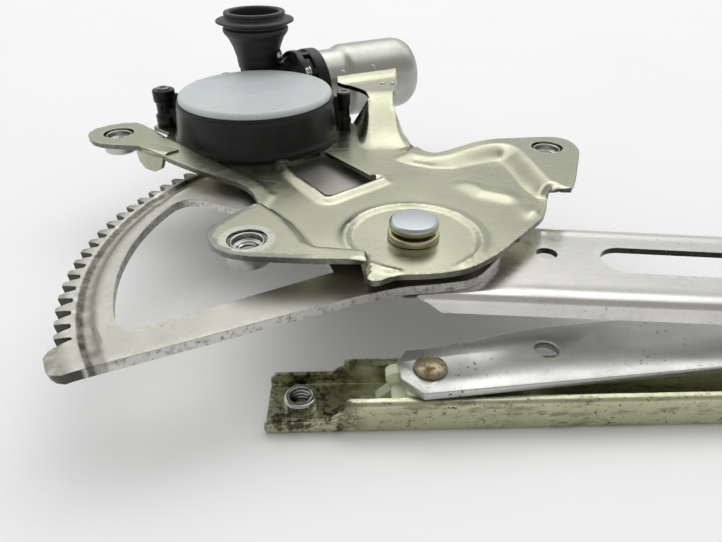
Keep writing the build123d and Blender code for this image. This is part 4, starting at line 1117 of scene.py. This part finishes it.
def make_clips():
    """Bright screws that hold the motor's flange to the housing."""
    body = Body()
    for along, side, z in ((31.6, -13.2, 54.4), (28.0, -14.6, 50.2), (24.6, 3.5, 59.4)):
        at = (*motor_point(along, side), z)
        head = [(0, 0.4), (2.0, 0.4), (2.3, -0.4), (1.9, -1.5), (0, -1.7)]
        washer = [(1.7, 0.2), (2.7, 0.2), (2.7, 0.8), (1.7, 0.8)]
        body.turned(head, at, MOTOR, ease=0.2, closed=False, segments=32)
        body.turned(washer, at, MOTOR, ease=0.1, segments=32)
    body.piece("flange_screws", "housing_screws", stands_for=False)


def make_cover():
    """Pale cover with a bulged side, a shallow step and faint rings."""
    low, top = HOUSING_TOP - 0.5, HOUSING_TOP + 2.9
    lid = [(0, low), (28.3, low), (28.3, low + 0.5), (32.4, low + 0.5), (32.7, low + 1.6)]
    lid += [(32.5, top - 0.9), (31.7, top - 0.1), (31.2, top), (27.6, top), (27.2, top - 0.18)]
    lid += [(26.4, top - 0.18), (25.9, top - 0.02), (9.4, top - 0.02), (9.1, top - 0.14), (8.5, top - 0.14)]
    lid += [(8.2, top - 0.02), (0, top - 0.02)]
    body = Body().turned(lid, (*GEAR, 0), ease=0.4, segments=160, closed=False)
    body.piece("cover_lid", "housing_cover", angle=50.0)


BOOT_OUTER = [
    (8.6, 52.2), (9.6, 52.3), (9.9, 54.0), (10.2, 57.5), (11.6, 62.4), (13.4, 66.4), (15.2, 68.6),
    (15.6, 69.6), (15.5, 70.8), (14.4, 71.4), (14.3, 72.3), (16.4, 73.0), (18.5, 73.5), (18.4, 74.4),
    (16.0, 75.0), (14.3, 75.4), (14.2, 76.2), (14.6, 77.0), (14.3, 78.0), (12.0, 78.0),
]
BOOT_INNER = [(11.5, 77.2), (11.5, 70.4), (10.6, 66.0), (8.6, 61.0)]


def make_boot():
    """Rubber bell with a drooping flange, a second ring and a rolled mouth."""
    body = Body().turned(BOOT_OUTER + BOOT_INNER, (*PLUG, 0), ease=0.45, segments=96)
    body.piece("boot_bell", "connector_boot")


def make_can():
    """Drawn steel can: narrow neck, shoulder, body, rounded end and bearing nose."""
    outer = [(15.8, CAN_START), (15.8, 51.6), (16.2, 53.4), (17.2, 55.4), (CAN_R, 57.0), (CAN_R, 86.0)]
    outer += [(17.0, 89.6), (15.4, 92.6), (12.4, 94.0), (8.4, 94.0), (7.0, 94.6), (6.5, 95.6), (6.5, 98.0)]
    outer += [(5.6, 99.0), (2.6, 99.0)]
    inner = [(2.6, 97.8), (5.2, 97.8), (5.2, 92.8), (14.4, 92.8), (16.2, 90.4), (16.3, 60.0), (14.6, 56.0)]
    inner += [(14.6, CAN_START)]
    body = Body().turned(outer + inner, along_axis(0), MOTOR, ease=0.9, segments=128)
    for along in (50.0, 66.0):
        for around in (150, 30):
            dimple(body, along, around)
    body.piece("motor_can_drawn", "motor_can")


def dimple(body, along, around):
    """Small crimp standing on the can's neck or body."""
    out = motor_spoke(around)
    base = Vector(along_axis(along)) + out * (15.5 if along < NECK_END else 17.2)
    crimp = [(0, 0), (1.5, 0), (1.4, 0.3), (0.6, 0.5), (0, 0.5)]
    body.turned(crimp, tuple(base), out, ease=0.1, closed=False, segments=24)


def make_saddle_nibs():
    """Two pressed nibs where the shelf meets the can, in brighter plating than the plate as a painted
    highlight.
    """
    body = Body()
    for x, y in ((-2.9, 120.5), (1.9, 120.3)):
        rivet_head(body, (x, y, SHELF_Z - 0.1), 1.1, 0.8)
    # bright plating on the nibs is a painted highlight
    body.piece("shelf_nibs", "base_plate", "bright_zinc", stands_for=False)


# ---- lift arm, stop tab and rails ---------------------------------------------------------

ARM_Z = 28.0
ARM_T = 2.0
BEND_R = 3.0
ARM_FRONT = 191.0
JOGGLE_START = ARM_FRONT + 30.0
JOGGLE_RUN = 32.0
FLANGE_LEAN = 0.21
LOW_ARM_Z = 14.0
ARM_EDGES = [
    (-16.0, -14.0, 16.0), (-2.0, -20.4, 22.0), (14.0, -20.4, 25.0), (50.0, -20.4, 24.5),
    (110.0, -20.4, 22.9), (191.0, -17.0, 20.0), (231.0, -13.0, 15.0), (380.0, -11.0, 11.0),
]
FLANGE = [(-16.0, 0.0), (1.0, 0.0), (9.0, 5.6), (205.0, 5.6), (216.0, 0.0), (400.0, 0.0)]
BACK_FLANGE = [(-16.0, 0.0), (24.0, 0.0), (32.0, 5.4), (205.0, 5.4), (216.0, 0.0), (400.0, 0.0)]


def table(x, rows, column=1):
    """Value read between rows of a small table."""
    return np.interp(x, [row[0] for row in rows], [row[column] for row in rows])


def turned_over(y, edge, side, radius):
    """Across and down places of a flat blank bent down past its bend line."""
    past = np.clip((y - edge) * side + radius, 0, None)
    angle = np.clip(past / radius, 0, math.pi / 2)
    straight_run = np.clip(past - radius * math.pi / 2, 0, None)
    across = np.where(past > 0, edge + side * (-radius + radius * np.sin(angle)), y)
    return across, radius * (1 - np.cos(angle)) + straight_run


def arm_form(blank):
    """Lift arm's top surface from its flat blank, along and across the arm."""
    x, y = blank[:, 0], blank[:, 1]
    front, back = table(x, ARM_EDGES, 1), table(x, ARM_EDGES, 2)
    across, down = turned_over(y, front, -1, BEND_R)
    across, more = turned_over(across, back, 1, BEND_R)
    joggle = smoothstep((x - JOGGLE_START) / JOGGLE_RUN)
    flat = smoothstep((x - 196.0) / 22.0)
    across = across * (1 - flat) + y * flat - FLANGE_LEAN * np.clip(down - BEND_R, 0, None)
    top = ARM_Z - (ARM_Z - LOW_ARM_Z) * joggle - (down + more) * (1 - flat)
    # shallow bead along both bends
    bead = 0.35 * bell(y - front - 4.4, 1.5) + 0.3 * bell(y - back + 4.4, 1.5)
    top = top + bead * (1 - flat) * smoothstep((x - 22.0) / 20.0)
    c, s = math.cos(REST_ANGLE), math.sin(REST_ANGLE)
    return np.column_stack([x * c - across * s, x * s + across * c, top])


def bend_extra(depth):
    """Length that a flange of a depth takes on the flat blank past its outer edge."""
    return 0.0 if depth < 0.5 else depth - BEND_R + BEND_R * (math.pi / 2) - BEND_R + ARM_T * 0.2


def arm_blank():
    """Outline of the lift arm before its flanges are turned down."""
    stations = [-16, -10, -2, 1, 5, 9, 20, 24, 28, 32, 50, 80, 110, 150, 180, 205, 209, 213, 216, 231]
    stations += [300, 360, 380]
    front = [(x, table(x, ARM_EDGES, 1) - bend_extra(table(x, FLANGE))) for x in stations]
    back = [(x, table(x, ARM_EDGES, 2) + bend_extra(table(x, BACK_FLANGE))) for x in stations]
    tip = [(388.0, -8.6), (391.0, -4.0), (391.0, 4.0), (388.0, 8.6)]
    return straight(front + tip + back[::-1], 1.3)


def slot_outline(start, end, radius):
    """Long hole between two places along and across the arm."""
    a = math.degrees(math.atan2(end[1] - start[1], end[0] - start[0]))
    return straight(arc(radius, a + 90, a + 270, start, 1.0) + arc(radius, a - 90, a + 90, end, 1.0), 1.2)


def make_lift_arm():
    """Pressed arm: rounded front and back bends, turned-down flanges, hole and long slot."""
    holes = [circle((43.5, 5.4), 3.4, 0.6), slot_outline((67.6, 3.0), (146.0, 1.0), 7.6)]
    holes += [circle((ARM_FRONT, 0.0), 5.05, 0.6)]
    sheet("lift_arm_pressing", "lift_arm", arm_blank(), holes, arm_form, ARM_T, 1.5)


def tab_form(blank):
    """Stop tab's surface: outwards from the strip's low edge, then down."""
    along, out = blank[:, 0], blank[:, 1]
    across, down = turned_over(out, 5.0, 1, 3.0)
    root = np.array([-98.6, 66.4])
    run, away = np.array([0.80, -0.60]), np.array([-0.60, -0.80])
    plan = root + along[:, None] * run + (across[:, None] - 3.0) * away
    dish = 0.9 * (along / 8.0) ** 2
    plan = plan - away * dish[:, None]
    return np.column_stack([plan, 39.4 - down])


def make_stop_tab():
    """Rounded tab turned down from the left strip."""
    side = [(9.5, -2.0), (8.6, 3.0), (8.0, 7.0), (6.6, 10.2), (3.0, 12.0)]
    outline = straight([(-9.5, -2.0)] + side + [(-x, y) for x, y in side[:0:-1]], 0.9)
    sheet("stop_tab_pressing", "base_plate", outline, [], tab_form, PLATE_T, 0.9, stands_for=False)


RAIL_HALF = 10.0
RAIL_H = 11.1
RAIL_BEND = 1.8
RAIL_WALL = 1.5
RAIL_LIP = 2.6
LOW_WALL = 5.4
LOW_END = 21.0
RAIL_NUT_X = 9.5


def rail_across(u):
    """Outside of the channel's section for a distance across its flat blank."""
    flat = RAIL_HALF - RAIL_BEND
    quarter = RAIL_BEND * math.pi / 2
    wall = RAIL_H - 2 * RAIL_BEND
    marks = [flat, flat + quarter, flat + quarter + wall, flat + 2 * quarter + wall]
    d = np.abs(u)
    a = np.clip((d - marks[0]) / RAIL_BEND, 0, math.pi / 2)
    b = np.clip((d - marks[2]) / RAIL_BEND, 0, math.pi / 2)
    y = np.minimum(d, flat) + RAIL_BEND * np.sin(a)
    z = RAIL_BEND * (1 - np.cos(a)) + np.clip(d - marks[1], 0, wall)
    y = y - RAIL_BEND * (1 - np.cos(b)) - np.clip(d - marks[3], 0, None)
    z = z + RAIL_BEND * np.sin(b)
    return np.sign(u) * y, z


def rail_form(blank):
    """Channel's outer surface from its flat blank, with slight dents along its lips."""
    x, u = blank[:, 0], blank[:, 1]
    y, z = rail_across(u)
    lip = smoothstep((np.abs(u) - 18.0) / 4.0)
    z = z - lip * (0.02 + 0.03 * np.sin(x * 0.33) + 0.02 * np.sin(x * 0.87 + u))
    return np.column_stack([x, RAIL_PIN[1] + y, z])


def make_glass_rail():
    """Rolled channel with low-walled ends, weld nut holes and floor windows."""
    low = RAIL_HALF - RAIL_BEND + RAIL_BEND * math.pi / 2 + LOW_WALL - RAIL_BEND
    full = RAIL_HALF - RAIL_BEND + RAIL_BEND * math.pi + RAIL_H - 2 * RAIL_BEND + RAIL_LIP - RAIL_BEND
    a, b = RAIL_START, RAIL_END
    c, d = a + LOW_END, b - LOW_END
    half = [(a + 1.5, low), (c - 3, low), (c + 1, low + 2.4), (c + 1.5, full - 1.0), (c + 3, full)]
    half += [(d - 3, full), (d - 1.5, full - 1.0), (d - 1, low + 2.4), (d + 3, low)]
    half += [(b - 1.5, low), (b, low - 1.5)]
    mirrored = [(x, -u) for x, u in reversed(half)]
    outline = straight([(a, low - 1.5)] + half + [(b, -low + 1.5)] + mirrored[1:] + [(a, -low + 1.5)], 2.0)
    holes = [circle((x, 0.0), 3.45, 0.7) for x in (a + RAIL_NUT_X, b - RAIL_NUT_X)]
    for x in (a + 32.0, (a + b) / 2, b - 32.0):
        window = [(x + 5.5 * i, 3.5 * j) for i, j in ((-1, -1), (1, -1), (1, 1), (-1, 1))]
        holes.append(rounded(window, 1.0, 1.2))
    sheet("glass_rail_rolled", "glass_rail", outline, holes, rail_form, -RAIL_WALL, 2.0, grid=rail_rows())


def rail_rows():
    """Inner points of the rail's blank, closer together across its bends."""
    across = [0.0, 2.5, 5.0, 7.0, 8.2, 8.7, 9.2, 9.7, 10.2, 10.7, 11.0, 12.6, 14.4, 16.4, 18.4, 18.9, 19.4]
    across += [19.9, 20.4, 20.9, 21.3]
    across += [-u for u in across[1:]]
    length = RAIL_END - RAIL_START
    count = int(length / 2.6)
    return [(RAIL_START + length * (k + 0.5) / count, u) for k in range(count) for u in across]


def make_rail_nuts():
    """Weld nuts on the rail's floor, with a rim below and a thread."""
    body, threads = Body(), Body()
    for x in (RAIL_START + RAIL_NUT_X, RAIL_END - RAIL_NUT_X):
        at = (x, RAIL_PIN[1], 0)
        section = [(3.35, 0.4), (3.4, 1.5), (4.9, 1.5), (4.9, 4.7), (4.4, 5.4), (3.45, 5.5), (3.2, 5.2)]
        body.turned(section, at, ease=0.25, segments=80)
        threads.thread(at, 0.4, 5.3, RAIL_THREAD_R)
    body.piece("rail_nuts_turned", "rail_nuts")
    threads.piece("rail_nut_threads", "rail_nuts", "threads")


# ---- sector gear and slider ---------------------------------------------------------------

SECTOR_Z = 31.0
SECTOR_T = 3.0
TIP_R, ROOT_R, PAD_R, HUB_R = 105.0, 100.6, 108.0, 28.0
TOOTH_STEP = 360.0 / 104
FIRST_TOOTH = 99.2
TOOTH_COUNT = 31
OPENING = (153.5, 206.8)
OPENING_R = 90.0
OPENING_TURN = 5.2
FLANK = ((ROOT_R, 1.62), (ROOT_R + 0.3, 1.22), (102.8, 0.88), (TIP_R, 0.50))
PAD_CORNERS = ((-1.4, 0.9), (0.0, 2.0), (0.0, 5.0), (-0.8, 6.2), (-3.0, 7.2))
SECTOR_RIVETS = ((18.5, 150.0), (18.5, 60.0), (18.0, 330.0))


def sector_outline():
    """Teeth, worn pad, straight lower edge and round hub."""
    line = []
    for k in range(TOOTH_COUNT):
        middle = FIRST_TOOTH + k * TOOTH_STEP
        line += [polar(radius, middle - half) for radius, half in FLANK]
        line += [polar(radius, middle + half) for radius, half in FLANK[::-1]]
    last = FIRST_TOOTH + (TOOTH_COUNT - 0.5) * TOOTH_STEP
    pad = [polar(ROOT_R, last)] + [polar(PAD_R + out, last + turn) for out, turn in PAD_CORNERS]
    low = [(-60.0, -43.2), (-35.0, -32.4), (-17.4, -25.2), (-5.0, -21.4), (8.0, -19.6), (17.0, -17.0)]
    low += [(24.0, -9.0)]
    hub = [polar(HUB_R, angle) for angle in range(-6, 80, 12)]
    body = straight(line + pad, 1.3, closed=False) + straight([pad[-1]] + low[:2], 2.0, closed=False)[1:]
    return body + curve(low[2:] + hub, 2.0) + [polar(ROOT_R - 1.0, FIRST_TOOTH - 2.4)]


def sector_form(blank):
    """Sector's top face with its pressed bead and worn pad."""
    x, y = blank[:, 0], blank[:, 1]
    r = np.hypot(x, y)
    angle = np.degrees(np.arctan2(y, x)) % 360
    run = smoothstep((angle - 101.0) / 3.0) * fall(angle, 208.6, 2.0)
    bead = smoothstep((r - 94.4) / 1.4) * fall(r, 98.2, 0.9)
    z = SECTOR_Z - 1.1 * bead * run + 0.25 * bell(r - 93.6, 0.9) * run
    z = z - 0.25 * smoothstep((r - 102.5) / 2.5) - 0.5 * smoothstep((r - 105.4) / 2.2)
    return np.column_stack([x, y, z])


def make_sector():
    """Stamped sector with its teeth, opening and bead."""
    start, end = OPENING
    span = end - start - 2 * OPENING_TURN
    opening = [polar(OPENING_R, start + OPENING_TURN + span * k / 36) for k in range(37)]
    turns = []
    for angle, inward in ((start, OPENING_TURN), (end, -OPENING_TURN)):
        ways = (polar(OPENING_R, angle + inward), polar(OPENING_R, angle), polar(82.0, angle))
        turns.append(bend(*map(np.array, ways), (0.2, 0.4, 0.6, 0.8, 1.0)))
    opening = [polar(38.0, start)] + turns[0][::-1] + opening + turns[1] + [polar(HUB_R, end)]
    holes = [straight(opening, 1.6), circle((0, 0), 6.0)]
    holes += [circle(polar(*rivet), 3.0) for rivet in SECTOR_RIVETS]
    sheet("sector_gear_stamped", "sector_gear", sector_outline(), holes, sector_form, SECTOR_T, 1.6, 38.0)


def make_rail_slider():
    """Nylon slider: rounded shoe, neck for the pin and a springy hook at its end."""
    body = Body()
    x, y = RAIL_PIN
    body.block(box_outline(22.0, 16.4, 2.0), 1.8, 9.3, 0.6, (x, y, 0))
    body.block(box_outline(14.0, 14.0, 1.5), 9.0, 11.6, 0.5, (x, y, 0))
    hook = [(-6.0, 2.2), (-6.0, 11.0), (-8.4, 12.2), (-10.8, 12.0), (-12.4, 10.6), (-12.2, 8.6)]
    hook += [(-10.8, 7.4), (-11.2, 5.6), (-14.6, 2.4), (-15.2, 0.9), (-13.6, 0.7), (-10.8, 2.6), (-9.2, 2.2)]
    upright = Matrix(((1, 0, 0), (0, 0, -1), (0, 1, 0)))
    body.block(eased(curve(hook, 0.8), 0.2), -1.9, 1.9, 0.7, (x, y + 1.4, 1.6), upright)
    body.piece("rail_slider_moulded", "rail_slider")


make_base_plate()
make_stop_tab()
make_saddle_nibs()
make_lift_arm()
make_sector()
make_rail_slider()
make_glass_rail()
make_rail_nuts()
make_ear_nuts()
make_pivot_pin()
make_rivets()
make_screws()
make_clips()
make_gear_housing()
make_cover()
make_boot()
make_can()

for node_name, edge in {
    "equalizer_lower_arm": 0.5, "equalizer_upper_arm": 0.4, "guide_rail": 0.35,
    "lift_slider": 0.5, "guide_slider": 0.5, "sector_rivets": 0.15, "cross_pin": 0.3,
    "pivot_bush": 0.3, "output_pinion": 0.2,
}.items():
    soften(node_name, edge)
